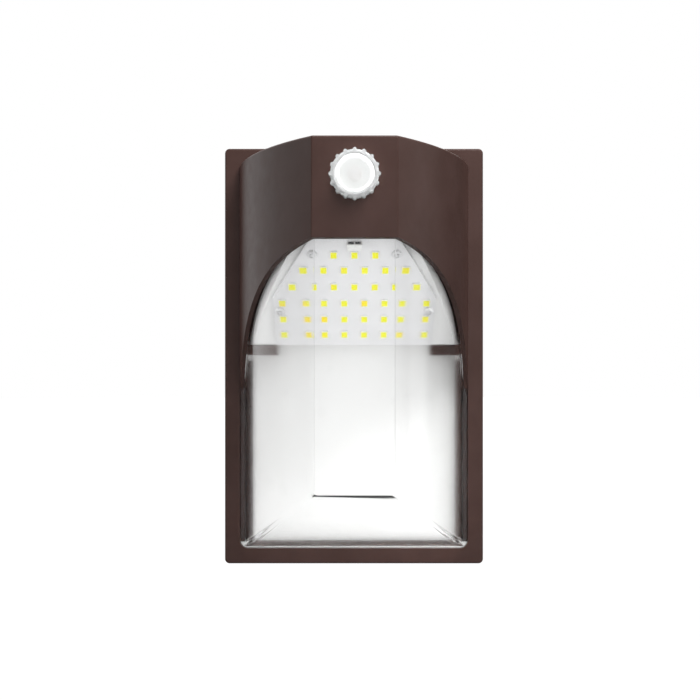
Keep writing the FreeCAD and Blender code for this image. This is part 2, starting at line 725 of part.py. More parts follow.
def make_front_housing():
    host = body("front_housing_body")

    hood = sketch_on(host, "XY_Plane", HOOD_TOP, "hood_plan")
    draw(hood, plan_outline(as_size(0)))
    pad(host, hood, HOOD_TOP - S.CutBack, "hood_pad", reverse=True)
    under = sketch_on(host, "YZ_Plane", 0, "hood_underside")
    radius = bow_radius(S.HoodDepth, S.CutFront - S.CutBack, S.CutBulge)
    below = S.CutBack - 1
    draw(under, [(FLANGE_Y + 1, below), (FLANGE_Y + 1, S.CutBack), (FLANGE_Y, S.CutBack, radius),
                 (STRIP_Y, S.CutFront), (STRIP_Y - 1, S.CutFront), (STRIP_Y - 1, below)])
    pocket(host, under, S.CoverWidth * 2, "hood_underside_cut", both_ways=True)

    def open_face(face):
        normal = face.normalAt(0, 0)
        at_flange = abs(face.BoundBox.YMax - number(FLANGE_Y)) < 0.01 and face.BoundBox.YLength < 0.01
        wide = face.BoundBox.XLength > number(HOOD_HALF)
        is_underside = wide and face.BoundBox.ZMax < number(S.CutFront) + 0.01
        return at_flange or (is_underside and abs(normal.x) < 0.01)

    hollow(host, "hood_wall", open_face, S.HoodWall)

    inner = plan_outline(S.HoodWall)
    inner_half = inner[-1][0]
    corner = S.WindowCorner
    flange = sketch_on(host, "XZ_Plane", -FLANGE_REAR_Y, "flange_outline")
    draw(flange, round_rectangle(-HALF_WIDTH, -HALF_HEIGHT, HALF_WIDTH, HALF_HEIGHT, S.CoverCorner))
    draw(flange, [
        (-HOOD_HALF + corner, WINDOW_LOW), (HOOD_HALF - corner, WINDOW_LOW, corner),
        (HOOD_HALF, WINDOW_LOW + corner), (HOOD_HALF, S.CutBack), (inner_half, S.CutBack),
        (inner_half, HOOD_TOP - S.HoodWall), (-inner_half, HOOD_TOP - S.HoodWall),
        (-inner_half, S.CutBack), (-HOOD_HALF, S.CutBack), (-HOOD_HALF, WINDOW_LOW + corner, corner)])
    pad(host, flange, S.FlangeThickness, "flange_pad")

    skirt = sketch_on(host, "XZ_Plane", S.SkirtGap, "skirt_outline")
    wall = S.SkirtWall
    draw(skirt, round_rectangle(-HALF_WIDTH, -HALF_HEIGHT, HALF_WIDTH, HALF_HEIGHT, S.CoverCorner))
    draw(skirt, rectangle(-HALF_WIDTH + wall, -HALF_HEIGHT + wall, HALF_WIDTH - wall, HALF_HEIGHT - wall))
    pad(host, skirt, -FLANGE_REAR_Y - S.SkirtGap, "skirt_pad")

    seat = sketch_on(host, "XZ_Plane", -SEAT_Y, "seat_outline")
    rib = HOOD_TOP - S.HoodWall
    draw(seat, rectangle(-HALF_WIDTH + wall, -HALF_HEIGHT + wall, HALF_WIDTH - wall, HOOD_TOP))
    draw(seat, rectangle(-SEAT_HALF, SEAT_LOW, SEAT_HALF, rib))
    pad(host, seat, SEAT_Y - FLANGE_REAR_Y, "seat_pad")

    back_edge = sketch_on(host, "YZ_Plane", 0, "top_edge")
    draw(back_edge, rectangle(-S.TopEdgeGap, HOOD_TOP + 1, 0 - S.SkirtGap + 1, HALF_HEIGHT + 1))
    pocket(host, back_edge, S.CoverWidth - 2 * wall, "top_edge_cut", both_ways=True)

    for side in SIDES:
        x = side * S.HingeSpan / 2
        notch = sketch_on(host, "YZ_Plane", x, "hinge_notch")
        clear = S.KnuckleRadius + S.PlateGap
        draw(notch, rectangle(HINGE_Y - clear, HALF_HEIGHT - wall - 1, -S.SkirtGap + 1, HALF_HEIGHT + 1))
        pocket(host, notch, S.KnuckleLength + 2 * S.KnuckleGap, "hinge_notch_cut", both_ways=True)
        for end in SIDES:
            middle = x + end * (S.KnuckleLength / 2 + S.KnuckleGap + S.SideKnuckle / 2)
            knuckle = sketch_on(host, "YZ_Plane", middle, "knuckle")
            draw(knuckle, [(HINGE_Y, HINGE_Z + S.KnuckleRadius, -S.KnuckleRadius), (HINGE_Y, EAR_BOX_Z),
                           (FLANGE_REAR_Y, EAR_BOX_Z), (FLANGE_REAR_Y, HINGE_Z + S.KnuckleRadius)])
            pad(host, knuckle, S.SideKnuckle, "knuckle_pad", both_ways=True)
            bore = sketch_on(host, "YZ_Plane", middle, "knuckle_bore")
            ring(bore, HINGE_Y, HINGE_Z, S.PinRadius + S.PinGap)
            pocket(host, bore, S.SideKnuckle * 1.02, "knuckle_bore_cut", both_ways=True)

        low_y = -S.CoverScrewOut
        shank_half = S.CoverScrewRadius + S.SlotPlay
        head_half = S.CoverHeadRadius + S.SlotPlay
        shank = sketch_on(host, "XY_Plane", -HALF_HEIGHT, "cover_screw_slot")
        draw(shank, [(x - shank_half, 0), (x - shank_half, low_y, shank_half), (x + shank_half, low_y),
                     (x + shank_half, 0)])
        pocket(host, shank, S.SeatWall * 1.1, "cover_screw_slot_cut", reverse=True)
        recess = sketch_on(host, "XY_Plane", -HALF_HEIGHT, "cover_screw_recess")
        draw(recess, [(x - head_half, 0), (x - head_half, low_y, head_half), (x + head_half, low_y),
                      (x + head_half, 0)])
        pocket(host, recess, S.CoverHeadHeight + 0.1, "cover_screw_recess_cut", reverse=True)

        ear = sketch_on(host, "XZ_Plane", -SEAT_Y, "ear_recess")
        ear_half = S.EarWidth / 2 + S.SheetGap
        ear_x = side * EAR_X
        ear_low = EAR_Z - S.SmallHeadRadius - 0.1
        draw(ear, rectangle(ear_x - ear_half, ear_low, ear_x + ear_half, SEAT_LOW + 1))
        pocket(host, ear, SEAT_Y - RIM_REAR_Y, "ear_recess_cut", reverse=True)
        pilot = sketch_on(host, "XZ_Plane", -RIM_REAR_Y, "ear_pilot")
        ring(pilot, ear_x, EAR_Z, S.SmallScrewRadius + S.ThreadGap)
        pocket(host, pilot, RIM_REAR_Y - FLANGE_Y - S.HoodWall / 2, "ear_pilot_cut", reverse=True)

        lug = sketch_on(host, "XZ_Plane", -RIM_REAR_Y, "lug_outline")
        outer = side * (HOOD_HALF - S.HoodWall / 2)
        inner_x = side * LUG_INNER
        left, right = (outer, inner_x) if side < 0 else (inner_x, outer)
        draw(lug, rectangle(left, LUG_TOP - S.LugHeight, right, LUG_TOP))
        pad(host, lug, RIM_REAR_Y - FLANGE_Y + S.LugDepth, "lug_pad")
        lug_pilot = sketch_on(host, "XZ_Plane", -RIM_REAR_Y, "lug_pilot")
        ring(lug_pilot, side * LUG_SCREW_X, LUG_MIDDLE, S.SmallScrewRadius + S.ThreadGap)
        pocket(host, lug_pilot, S.SmallScrewLength, "lug_pilot_cut", reverse=True)

        post = sketch_on(host, "XZ_Plane", S.CaseBack + S.EarThickness, "driver_post")
        ring(post, side * POST_X, CASE_MIDDLE, S.PostRadius)
        pad(host, post, POST_END + S.CoverDepth - S.CaseBack - S.EarThickness, "driver_post_pad")
        post_pilot = sketch_on(host, "XZ_Plane", S.CaseBack + S.EarThickness, "driver_pilot")
        ring(post_pilot, side * POST_X, CASE_MIDDLE, S.SmallScrewRadius + S.ThreadGap)
        pocket(host, post_pilot, S.SmallScrewLength, "driver_pilot_cut", reverse=True)

    cell = sketch_on(host, "XZ_Plane", -STRIP_Y, "photocell_hole")
    ring(cell, 0, CELL_Z, S.CellHoleRadius)
    pocket(host, cell, S.HoodWall * 4, "photocell_hole_cut", both_ways=True)

    def hood_edge(edge):
        bounds = edge.BoundBox
        crease = turned_edges(edge, 0, number(HOOD_TOP) + 0.01) and bounds.YMax < number(STRIP_Y) + 0.01
        flat_top = bounds.ZMin > number(HOOD_TOP) - 0.01 and bounds.ZLength < 0.01
        at_flange = bounds.YMin > number(FLANGE_Y) - 0.01
        return crease or (flat_top and bounds.YMax < number(FLANGE_Y) + 0.01 and not at_flange)

    def flange_edge(edge):
        bounds = edge.BoundBox
        flat = bounds.YLength < 0.01 and abs(bounds.YMin - number(FLANGE_Y)) < 0.01
        at_side = abs(edge.CenterOfMass.x) > number(HALF_WIDTH - S.CoverCorner)
        at_end = abs(edge.CenterOfMass.z) > number(HALF_HEIGHT - S.CoverCorner)
        return flat and (at_side or at_end)

    dress(host, "PartDesign::Fillet", "hood_rounding", hood_edge, S.EdgeFillet)
    dress(host, "PartDesign::Fillet", "flange_rounding", flange_edge, S.EdgeFillet)
    return finished(host, "front_housing")


def make_lens():
    outer_plan = loose_sketch("lens_outer_plan", "XY_Plane")
    draw(outer_plan, plan_outline(LENS_INSET, RIM_FRONT_Y))
    outer_column = solid_from("lens_outer_column", outer_plan, Z_AXIS, S.CoverHeight * 2, both_ways=True)
    inner_plan = loose_sketch("lens_inner_plan", "XY_Plane")
    draw(inner_plan, plan_outline(LENS_INSET + S.LensWall, RIM_REAR_Y + 1))
    inner_column = solid_from("lens_inner_column", inner_plan, Z_AXIS, S.CoverHeight * 2, both_ways=True)

    outer = common("lens_outer", outer_column, lens_side_solid("lens_outer_side", as_size(0), RIM_FRONT_Y))
    inner = common("lens_inner", inner_column, lens_side_solid("lens_inner_side", S.LensWall, RIM_REAR_Y + 1))

    rim_outline = loose_sketch("lens_rim_outline", "XY_Plane")
    rim_outline.Placement.Rotation = FreeCAD.Rotation(X_AXIS, 90)
    bind(rim_outline, "Placement.Base.y", RIM_REAR_Y)
    draw(rim_outline, rectangle(-RIM_HALF, RIM_LOW, RIM_HALF, S.CutBack + S.LensTuck - 1))
    rim = solid_from("lens_rim", rim_outline, -Y_AXIS, S.RimThickness)
    shell = cut("lens_shell", fuse("lens_with_rim", [outer, rim]), inner)
    return finished(shell, "lens")


def lens_side_solid(name, wall, back_y):
    """The lens's side view, moved in by the wall, as a wide solid. Its top follows the hood's lower edge."""
    profile = loose_sketch(name + "_profile", "YZ_Plane")
    lower = bow_radius(S.HoodDepth, S.LensFront - LENS_BACK, S.LensBulge)
    upper = bow_radius(S.HoodDepth, S.CutFront - S.CutBack, S.CutBulge)
    over = wall * 4
    draw(profile, [
        (back_y, S.CutBack + S.LensTuck + over), (FLANGE_Y, S.CutBack + S.LensTuck + over, upper),
        (STRIP_Y, S.CutFront + S.LensTuck + over), (STRIP_Y, S.LensFront + wall, lower),
        (FLANGE_Y, LENS_BACK + wall), (back_y, LENS_BACK + wall)])
    return solid_from(name, profile, X_AXIS, S.CoverWidth * 2, both_ways=True)


def make_lens_gasket():
    host = body("lens_gasket_body")
    band = sketch_on(host, "XZ_Plane", -RIM_FRONT_Y, "lens_gasket_band")
    top = S.CutBack - S.SeatGap
    half = HOOD_HALF
    corner = S.WindowCorner
    draw(band, [(-RIM_HALF, RIM_LOW), (RIM_HALF, RIM_LOW), (RIM_HALF, top), (half, top),
                (half, WINDOW_LOW + corner, -corner), (half - corner, WINDOW_LOW),
                (-half + corner, WINDOW_LOW, -corner), (-half, WINDOW_LOW + corner), (-half, top),
                (-RIM_HALF, top)])
    pad(host, band, S.LensSeal, "lens_gasket_pad")
    return finished(host, "lens_gasket")


# ---------------------------------------------------------------- reflector and LED board

SLOPE_SINE = sine(S.BoardTilt)
SLOPE_COSINE = cosine(S.BoardTilt)
BOARD_STACK = S.BoardThickness + S.PadThickness


def on_slope(along, above):
    """Side-view point (y, z) at a distance up the slope from the board's foot and above its front face."""
    return (FLANGE_Y - S.BoardFootDepth - along * SLOPE_COSINE - above * SLOPE_SINE,
            S.BoardFoot + along * SLOPE_SINE - above * SLOPE_COSINE)


def slope_at_height(height, above):
    """The y of the slope's plane at a height."""
    base_y, base_z = on_slope(as_size(0), above)
    return base_y - (height - base_z) * SLOPE_COSINE / SLOPE_SINE


def slope_at_depth(y, above):
    """The height of the slope's plane at a y."""
    base_y, base_z = on_slope(as_size(0), above)
    return base_z + (base_y - y) * SLOPE_SINE / SLOPE_COSINE


def lay_on_slope(thing):
    """Turn a piece modelled flat so that its +Y runs up the slope and its +Z faces the lens."""
    thing.Placement.Rotation = FreeCAD.Rotation(X_AXIS, 180 - number(S.BoardTilt))
    bind(thing, "Placement.Rotation.Angle", 180 - S.BoardTilt)
    foot_y, foot_z = on_slope(as_size(0), as_size(0))
    put(thing, 0, foot_y, foot_z)


def reflector_flaps(front, column):
    """The sheet's sides, bent back behind the slope as far as the hood's edge shows them."""
    top_y = FLANGE_Y - S.SlopeTop
    bow = bow_radius(S.HoodDepth, S.CutFront - S.CutBack, S.CutBulge)
    below_edge = loose_sketch("flap_below_edge", "YZ_Plane")
    low = S.CutBack + S.FlapRise
    draw(below_edge, [(FLANGE_Y, low, bow), (STRIP_Y, S.CutFront + S.FlapRise), (STRIP_Y, low)])
    behind_slope = loose_sketch("flap_behind_slope", "YZ_Plane")
    draw(behind_slope, [
        (FLANGE_Y, S.ShelfHeight), (slope_at_height(S.ShelfHeight, front), S.ShelfHeight),
        (top_y, slope_at_depth(top_y, front)), (FLANGE_Y, slope_at_depth(top_y, front))])
    seen = common("flap_seen", solid_from("flap_edge_side", below_edge, X_AXIS, S.CoverWidth, both_ways=True),
                  solid_from("flap_slope_side", behind_slope, X_AXIS, S.CoverWidth, both_ways=True))
    core_plan = loose_sketch("flap_core_plan", "XY_Plane")
    draw(core_plan, plan_outline(LENS_INSET + S.LensWall + S.SheetGap + S.SheetThickness, RIM_REAR_Y))
    core = solid_from("flap_core", core_plan, Z_AXIS, S.CoverHeight * 2, both_ways=True)
    return cut("reflector_flaps", common("flap_block", seen, column), core)


def reflector_side_gaps():
    """Where the floor stops short of the lens's sides, so that the dark body shows beside it."""
    outer = S.CoverWidth / 2
    inner = HOOD_HALF - S.SideShow
    gaps = []
    for side in SIDES:
        middle = side * (outer + inner) / 2
        half = (outer - inner) / 2
        gaps.append(box("side_gap", (middle - half, FLANGE_Y, RIM_LOW + S.SideShowFoot),
                        (middle + half, as_size(0), LUG_TOP - S.LugHeight)))
    return gaps


def make_reflector():
    front = -BOARD_STACK
    back = front - S.SheetThickness
    top_y = FLANGE_Y - S.SlopeTop
    shelf_top = S.ShelfHeight + S.SheetThickness
    side_view = loose_sketch("reflector_side_view", "YZ_Plane")
    draw(side_view, [
        (RIM_REAR_Y, RIM_LOW), (SHEET_REAR_Y, RIM_LOW), (SHEET_REAR_Y, shelf_top),
        (slope_at_height(shelf_top, back), shelf_top), (top_y, slope_at_depth(top_y, back)),
        (top_y, slope_at_depth(top_y, front)), (slope_at_height(S.ShelfHeight, front), S.ShelfHeight),
        (RIM_REAR_Y, S.ShelfHeight)])
    folded = solid_from("reflector_folded", side_view, X_AXIS, S.CoverWidth, both_ways=True)

    plan = loose_sketch("reflector_plan", "XY_Plane")
    inside = plan_outline(LENS_INSET + S.LensWall + S.SheetGap, RIM_REAR_Y)
    wide = inside[-1][0]
    draw(plan, [(-RIM_HALF, 0), (-RIM_HALF, RIM_REAR_Y), (-wide, RIM_REAR_Y)] + inside[1:5]
         + [(wide, RIM_REAR_Y), (RIM_HALF, RIM_REAR_Y), (RIM_HALF, 0)])
    column = solid_from("reflector_column", plan, Z_AXIS, S.CoverHeight * 2, both_ways=True)
    sheet_shape = common("reflector_sheet", folded, column)
    flaps = reflector_flaps(front, column)

    ears = []
    tools = []
    for side in SIDES:
        x = side * EAR_X
        half = S.EarWidth / 2
        ears.append(box("reflector_ear", (x - half, RIM_REAR_Y, EAR_Z - S.SmallHeadRadius / 2),
                        (x + half, SHEET_REAR_Y, RIM_LOW + 1)))
        hole = S.SmallScrewRadius + S.HolePlay
        tools.append(rod("ear_hole", (x, 0, EAR_Z), "-Y", hole, S.CoverDepth))
        tools.append(rod("lug_hole", (side * LUG_SCREW_X, 0, LUG_MIDDLE), "-Y", hole, S.CoverDepth))
    for along, x in board_screw_places():
        tools.append(slope_rod("sheet_screw_hole", x, along, S.CoverDepth / 2, S.SmallScrewRadius + S.HolePlay,
                               S.CoverDepth))
    tools.append(slope_rod("sheet_lead_hole", as_size(0), LEAD_ALONG, S.CoverDepth / 2, S.SheetHoleRadius,
                           S.CoverDepth))
    tools += reflector_side_gaps()
    whole = drilled("reflector_drilled", fuse("reflector_whole", [sheet_shape, flaps] + ears), tools)
    return finished(whole, "reflector")


def slope_rod(name, x, along, above, radius, length):
    """A cylinder square to the slope, from a height above the board's face down through it."""
    thing = doc.addObject("Part::Cylinder", name)
    thing.Placement.Rotation = FreeCAD.Rotation(X_AXIS, 360 - number(S.BoardTilt))
    bind(thing, "Placement.Rotation.Angle", 360 - S.BoardTilt)
    bind(thing, "Radius", radius)
    bind(thing, "Height", length)
    y, z = on_slope(as_size(along), as_size(above))
    put(thing, x, y, z)
    return thing


ROWS = (8, 8, 8, 7, 6, 3)
ROW_PITCH = (S.BoardLength - S.FirstRow - S.TopRowPitch - S.TopRowDrop) / (len(ROWS) - 2)
CHIP_PITCH = (2 * BOARD_HALF - 2 * S.ChipMargin - S.ChipWidth) / (max(ROWS) - 1)
LEAD_ALONG = S.BoardLength - S.LeadDrop


def row_places():
    """How far up the board each row of LEDs lies, lowest first."""
    places = [S.FirstRow + index * ROW_PITCH for index in range(len(ROWS) - 1)]
    return places + [places[-1] + S.TopRowPitch]


def board_screw_places():
    """Distance up the slope and from the centre line of the four board screws."""
    low = S.FirstRow + 1.5 * ROW_PITCH
    high = S.BoardLength - S.HighScrewDrop
    places = []
    for side in SIDES:
        places.append((low, side * (BOARD_HALF - S.BoardScrewInset)))
        places.append((high, side * (BOARD_TOP_HALF - S.BoardScrewInset / 5)))
    return places


def board_outline(margin):
    half = BOARD_HALF - margin
    top = BOARD_TOP_HALF - margin
    return [(-half, margin), (half, margin), (half, S.BoardShoulder), (top, S.BoardLength - margin),
            (-top, S.BoardLength - margin), (-half, S.BoardShoulder)]


def flat_sheet(name, start, thickness, margin, label):
    """A board-shaped sheet laid on the slope, with holes for the board screws and the leads."""
    host = body(name + "_body")
    outline = sketch_on(host, "XY_Plane", start, name + "_outline")
    draw(outline, board_outline(as_size(margin)))
    for along, x in board_screw_places():
        ring(outline, x, along, S.SmallScrewRadius + S.HolePlay)
    ring(outline, 0, LEAD_ALONG, S.ConnectorHoleRadius)
    pad(host, outline, thickness, name + "_pad")
    lay_on_slope(host)
    return finished(host, label)


def make_led_board():
    return flat_sheet("led_board", -S.BoardThickness, S.BoardThickness - S.SeatGap, 0, "led_board")


def make_thermal_pad():
    return flat_sheet("thermal_pad", -BOARD_STACK + S.SeatGap, S.PadThickness - 2 * S.SeatGap, 1, "thermal_pad")


def make_heat_spreader():
    host = body("heat_spreader_body")
    face = -BOARD_STACK - S.SheetThickness - S.SeatGap
    outline = sketch_on(host, "XY_Plane", face, "heat_spreader_outline")
    half = BOARD_HALF - 1
    narrow = BOARD_TOP_HALF
    notch = S.SheetHoleRadius
    floor = LEAD_ALONG - S.SheetHoleRadius
    top = S.BoardLength
    draw(outline, [(-half, S.SpreaderFoot), (half, S.SpreaderFoot), (half, S.BoardShoulder), (narrow, top),
                   (notch, top), (notch, floor), (-notch, floor), (-notch, top), (-narrow, top),
                   (-half, S.BoardShoulder)])
    for along, x in board_screw_places():
        ring(outline, x, along, S.SmallScrewRadius + S.ThreadGap)
    pad(host, outline, S.SpreaderThickness, "heat_spreader_pad", reverse=True)
    lay_on_slope(host)
    return finished(host, "heat_spreader")


def make_led_chips():
    """All the LEDs, as one group of separate solids that follows the sizes in the sheet."""
    chips = []
    for count, along in zip(ROWS, row_places()):
        for index in range(count):
            x = (index - (count - 1) / 2) * CHIP_PITCH
            chip = box("led_chip", (x - S.ChipWidth / 2, along - S.ChipHeight / 2, as_size(0)),
                       (x + S.ChipWidth / 2, along + S.ChipHeight / 2, S.ChipThickness))
            chips.append(chip)
    chips_group = group("led_chip_group", chips)
    lay_on_slope(chips_group)
    return finished(chips_group, "led_chips")


def make_led_board_screws():
    screws = []
    length = BOARD_STACK + S.SheetThickness + S.SpreaderThickness
    for along, x in board_screw_places():
        head = slope_rod("board_screw_head", x, along, S.SmallHeadHeight, S.SmallHeadRadius, S.SmallHeadHeight)
        shank = slope_rod("board_screw_shank", x, along, S.SmallHeadHeight / 2, S.SmallScrewRadius,
                          length + S.SmallHeadHeight / 2)
        screws.append(fuse("board_screw", [head, shank]))
    return finished(group("board_screw_group", screws), "led_board_screws")


def make_board_connector():
    half = S.ConnectorWidth / 2
    rise = S.ConnectorHeight / 2
    case = box("connector_case", (-half, LEAD_ALONG - rise, as_size(0)),
               (half, LEAD_ALONG + rise, S.ConnectorThickness))
    tail = rod("connector_tail", (as_size(0), LEAD_ALONG, -S.BoardThickness), "+Z",
               S.ConnectorHoleRadius - S.HolePlay, S.BoardThickness + S.ConnectorThickness / 2)
    whole = fuse("connector_whole", [case, tail])
    lay_on_slope(whole)
    return finished(whole, "board_connector")


def make_reflector_screws():
    screws = []
    for side in SIDES:
        for x, z in ((EAR_X, EAR_Z), (LUG_SCREW_X, LUG_MIDDLE)):
            at = (side * x, SHEET_REAR_Y, z)
            length = S.SmallScrewLength if x is LUG_SCREW_X else S.SmallScrewLength - S.SheetThickness
            sizes = (S.SmallScrewRadius, length, S.SmallHeadRadius, S.SmallHeadHeight)
            screws.append(pan_screw("reflector_screw", at, "-Y", *sizes))
    return finished(group("reflector_screw_group", screws), "reflector_screws")


# ---------------------------------------------------------------- driver


def make_driver_case():
    host = body("driver_case_body")
    outline = sketch_on(host, "XZ_Plane", S.CaseBack, "case_outline")
    half = CASE_HALF
    draw(outline, rectangle(-half, CASE_FLOOR, half, CASE_TOP))
    pad(host, outline, S.CaseDepth, "case_pad")
    inside = sketch_on(host, "XZ_Plane", S.CaseBack, "case_inside")
    wall = S.CaseWall
    draw(inside, rectangle(-half + wall, CASE_FLOOR + wall, half - wall, CASE_TOP - wall))
    pocket(host, inside, S.CaseDepth - wall, "case_inside_cut", reverse=True)
    ears = sketch_on(host, "XZ_Plane", S.CaseBack, "case_ears")
    for side in SIDES:
        edge = side * half
        tip = side * (half + S.EarReach)
        left, right = (tip, edge) if side < 0 else (edge, tip)
        draw(ears, rectangle(left, CASE_MIDDLE - S.PostRadius - 1, right, CASE_MIDDLE + S.PostRadius + 1))
        ring(ears, side * POST_X, CASE_MIDDLE, S.SmallScrewRadius + S.HolePlay)
    pad(host, ears, S.EarThickness - S.SeatGap, "case_ears_pad")
    front = sketch_on(host, "XZ_Plane", -CASE_FRONT_Y, "case_lead_holes")
    for x, z in LED_LEAD_HOLES + CELL_LEAD_HOLES:
        ring(front, x, z, S.LeadRadius + S.HolePlay)
    pocket(host, front, S.CaseWall * 2, "case_lead_holes_cut", both_ways=True)
    return finished(host, "driver_case")


LED_LEAD_Z = CASE_FLOOR + S.LedLeadRise
CELL_LEAD_Z = CASE_FLOOR + S.CellLeadRise
LED_LEAD_HOLES = [(side * S.LeadSpread, LED_LEAD_Z) for side in SIDES]
CELL_LEAD_HOLES = [(side * S.CellLeadSpread, CELL_LEAD_Z) for side in SIDES]


def make_driver_lid():
    half = CASE_HALF
    rear = -S.CaseBack + S.SeatGap
    lid = box("driver_lid_plate", (-half, rear, CASE_FLOOR), (half, rear + S.LidThickness, CASE_TOP))
    return finished(lid, "driver_lid")


CIRCUIT_REAR_Y = -S.CaseBack - S.CircuitLift
CIRCUIT_FRONT_Y = CIRCUIT_REAR_Y - S.CircuitThickness


def make_driver_board():
    edge = S.CaseWall + S.CircuitGap
    half = CASE_HALF - edge
    host = body("driver_board_body")
    outline = sketch_on(host, "XZ_Plane", -CIRCUIT_REAR_Y, "driver_board_outline")
    draw(outline, rectangle(-half, CASE_FLOOR + edge, half, CASE_TOP - edge))
    pad(host, outline, S.CircuitThickness, "driver_board_pad")
    return finished(host, "driver_board")


def make_driver_transformer():
    """A square core with a window, and the coil that fills the window and stands a little proud of it."""
    half = S.CoreWidth / 2
    low = CASE_MIDDLE - half
    high = CASE_MIDDLE + half
    front = CIRCUIT_FRONT_Y
    end = front - S.CoreDepth
    core = box("transformer_core", (-half, end, low), (half, front, high))
    window = box("transformer_window", (-half - 1, end + S.CoreYoke, low + S.CoreLimb),
                 (half + 1, front - S.CoreYoke, high - S.CoreLimb))
    coil_half = S.CoilWidth / 2
    proud = S.CoilProud
    coil = box("transformer_coil", (-coil_half, end + proud, low + S.CoreLimb - proud),
               (coil_half, front - proud, high - S.CoreLimb + proud))
    whole = fuse("transformer_whole", [cut("transformer_frame", core, window), coil])
    return finished(whole, "driver_transformer")


PARTS_LEFT = S.CaseWall + S.DriverGap - CASE_HALF
PARTS_RIGHT = CASE_HALF - S.CaseWall - S.DriverGap
PARTS_LOW = CASE_FLOOR + S.CaseWall + S.DriverGap
PARTS_HIGH = CASE_TOP - S.CaseWall - S.DriverGap


def make_driver_capacitors():
    big = S.BigCanRadius
    small = S.SmallCanRadius
    cans = [
        rod("big_capacitor", (PARTS_LEFT + big, CIRCUIT_FRONT_Y, PARTS_LOW + big), "-Y", big, S.BigCanHeight),
        rod("left_capacitor", (PARTS_LEFT + big, CIRCUIT_FRONT_Y, PARTS_HIGH - small), "-Y", small,
            S.SmallCanHeight),
        rod("right_capacitor", (PARTS_RIGHT - small, CIRCUIT_FRONT_Y, PARTS_HIGH - small), "-Y", small,
            S.SmallCanHeight),
    ]
    return finished(group("capacitor_group", cans), "driver_capacitors")


def make_driver_inductor():
    at = (PARTS_RIGHT - S.ChokeRadius, CIRCUIT_FRONT_Y, PARTS_LOW + S.ChokeRadius)
    spool = rod("inductor_spool", at, "-Y", S.ChokeRadius, S.ChokeHeight)
    hole = rod("inductor_hole", at, "-Y", S.ChokeBore, S.ChokeHeight * 2)
    return finished(cut("inductor_ring", spool, hole), "driver_inductor")


def make_driver_screws():
    screws = []
    for side in SIDES:
        at = (side * POST_X, -S.CaseBack, CASE_MIDDLE)
        sizes = (S.SmallScrewRadius, S.SmallScrewLength, S.SmallHeadRadius, S.SmallHeadHeight)
        screws.append(pan_screw("driver_screw", at, "-Y", *sizes))
    return finished(group("driver_screw_group", screws), "driver_screws")


TERMINAL_TOP = CASE_FLOOR - S.SeatGap
TERMINAL_REAR_Y = -S.CaseBack - S.TerminalLift
TERMINAL_X = [index * S.TerminalPitch for index in (-1, 0, 1)]
WELL_FLOOR_Y = TERMINAL_REAR_Y - S.WellDepth


def make_terminal_block():
    half = S.TerminalPitch + S.TerminalMargin
    front = TERMINAL_REAR_Y - S.TerminalDepth
    floor = TERMINAL_TOP - S.TerminalHeight
    block = box("terminal_solid", (-half, front, floor), (half, TERMINAL_REAR_Y, TERMINAL_TOP))
    tools = []
    for x in TERMINAL_X:
        tools.append(rod("terminal_well", (x, TERMINAL_REAR_Y + 1, TERMINAL_TOP - S.TerminalDrop), "-Y",
                         S.WellRadius, S.WellDepth + 1))
        tools.append(rod("terminal_mouth", (x, WELL_FLOOR_Y, floor - 1), "+Z", S.MouthRadius, S.MouthDepth + 1))
    return finished(drilled("terminal_drilled", block, tools), "terminal_block")


def make_terminal_screws():
    screws = []
    for x in TERMINAL_X:
        at = (x, WELL_FLOOR_Y + S.TerminalScrewLength, TERMINAL_TOP - S.TerminalDrop)
        screws.append(rod("terminal_screw", at, "-Y", S.WellRadius - S.ThreadGap * 2, S.TerminalScrewLength))
    return finished(group("terminal_screw_group", screws), "terminal_screws")


# ---------------------------------------------------------------- photocell

HOOD_INSIDE_Y = STRIP_Y + S.HoodWall
BARREL_FRONT_Y = STRIP_Y - S.BarrelReach
BARREL_REAR_Y = HOOD_INSIDE_Y + S.BarrelTail
CAP_REAR_Y = STRIP_Y - S.SealThickness - S.SeatGap
HOLDER_FACE_Y = BARREL_FRONT_Y + S.HolderFace


def make_photocell_holder():
    host = body("photocell_holder_body")
    section = sketch_on(host, "YZ_Plane", 0, "holder_section")
    outer = S.BarrelRadius
    bore = S.BarrelRadius - S.BarrelWall
    flange = S.HolderFlange
    flange_front = HOOD_INSIDE_Y + S.SeatGap
    flange_rear = flange_front + S.HolderFlangeThickness
    floor = HOLDER_FACE_Y + S.HolderFloor
    draw(section, [(BARREL_FRONT_Y, bore), (BARREL_FRONT_Y, outer), (flange_front, outer),
                   (flange_front, flange), (flange_rear, flange), (flange_rear, outer), (BARREL_REAR_Y, outer),
                   (BARREL_REAR_Y, bore), (floor, bore), (floor, 0), (HOLDER_FACE_Y, 0), (HOLDER_FACE_Y, bore)])
    turned = host.newObject("PartDesign::Revolution", "holder_turned")
    turned.Profile = section
    turned.ReferenceAxis = (section, ["H_Axis"])
    turned.Angle = 360
    bind(host, "Placement.Base.z", CELL_Z)
    doc.recompute()
    return finished(host, "photocell_holder")


def make_photocell_sensor():
    can = rod("sensor_can", (as_size(0), HOLDER_FACE_Y, CELL_Z), "-Y", S.SensorRadius, S.SensorHeight)
    return finished(can, "photocell_sensor")


def make_cap_seal():
    outer = rod("seal_outer", (as_size(0), STRIP_Y - S.SeatGap, CELL_Z), "-Y", S.SealOuter,
                S.SealThickness - S.SeatGap)
    inner = rod("seal_inner", (as_size(0), STRIP_Y + 1, CELL_Z), "-Y", S.SealInner, S.SealThickness * 5)
    return finished(cut("seal_ring", outer, inner), "cap_seal")


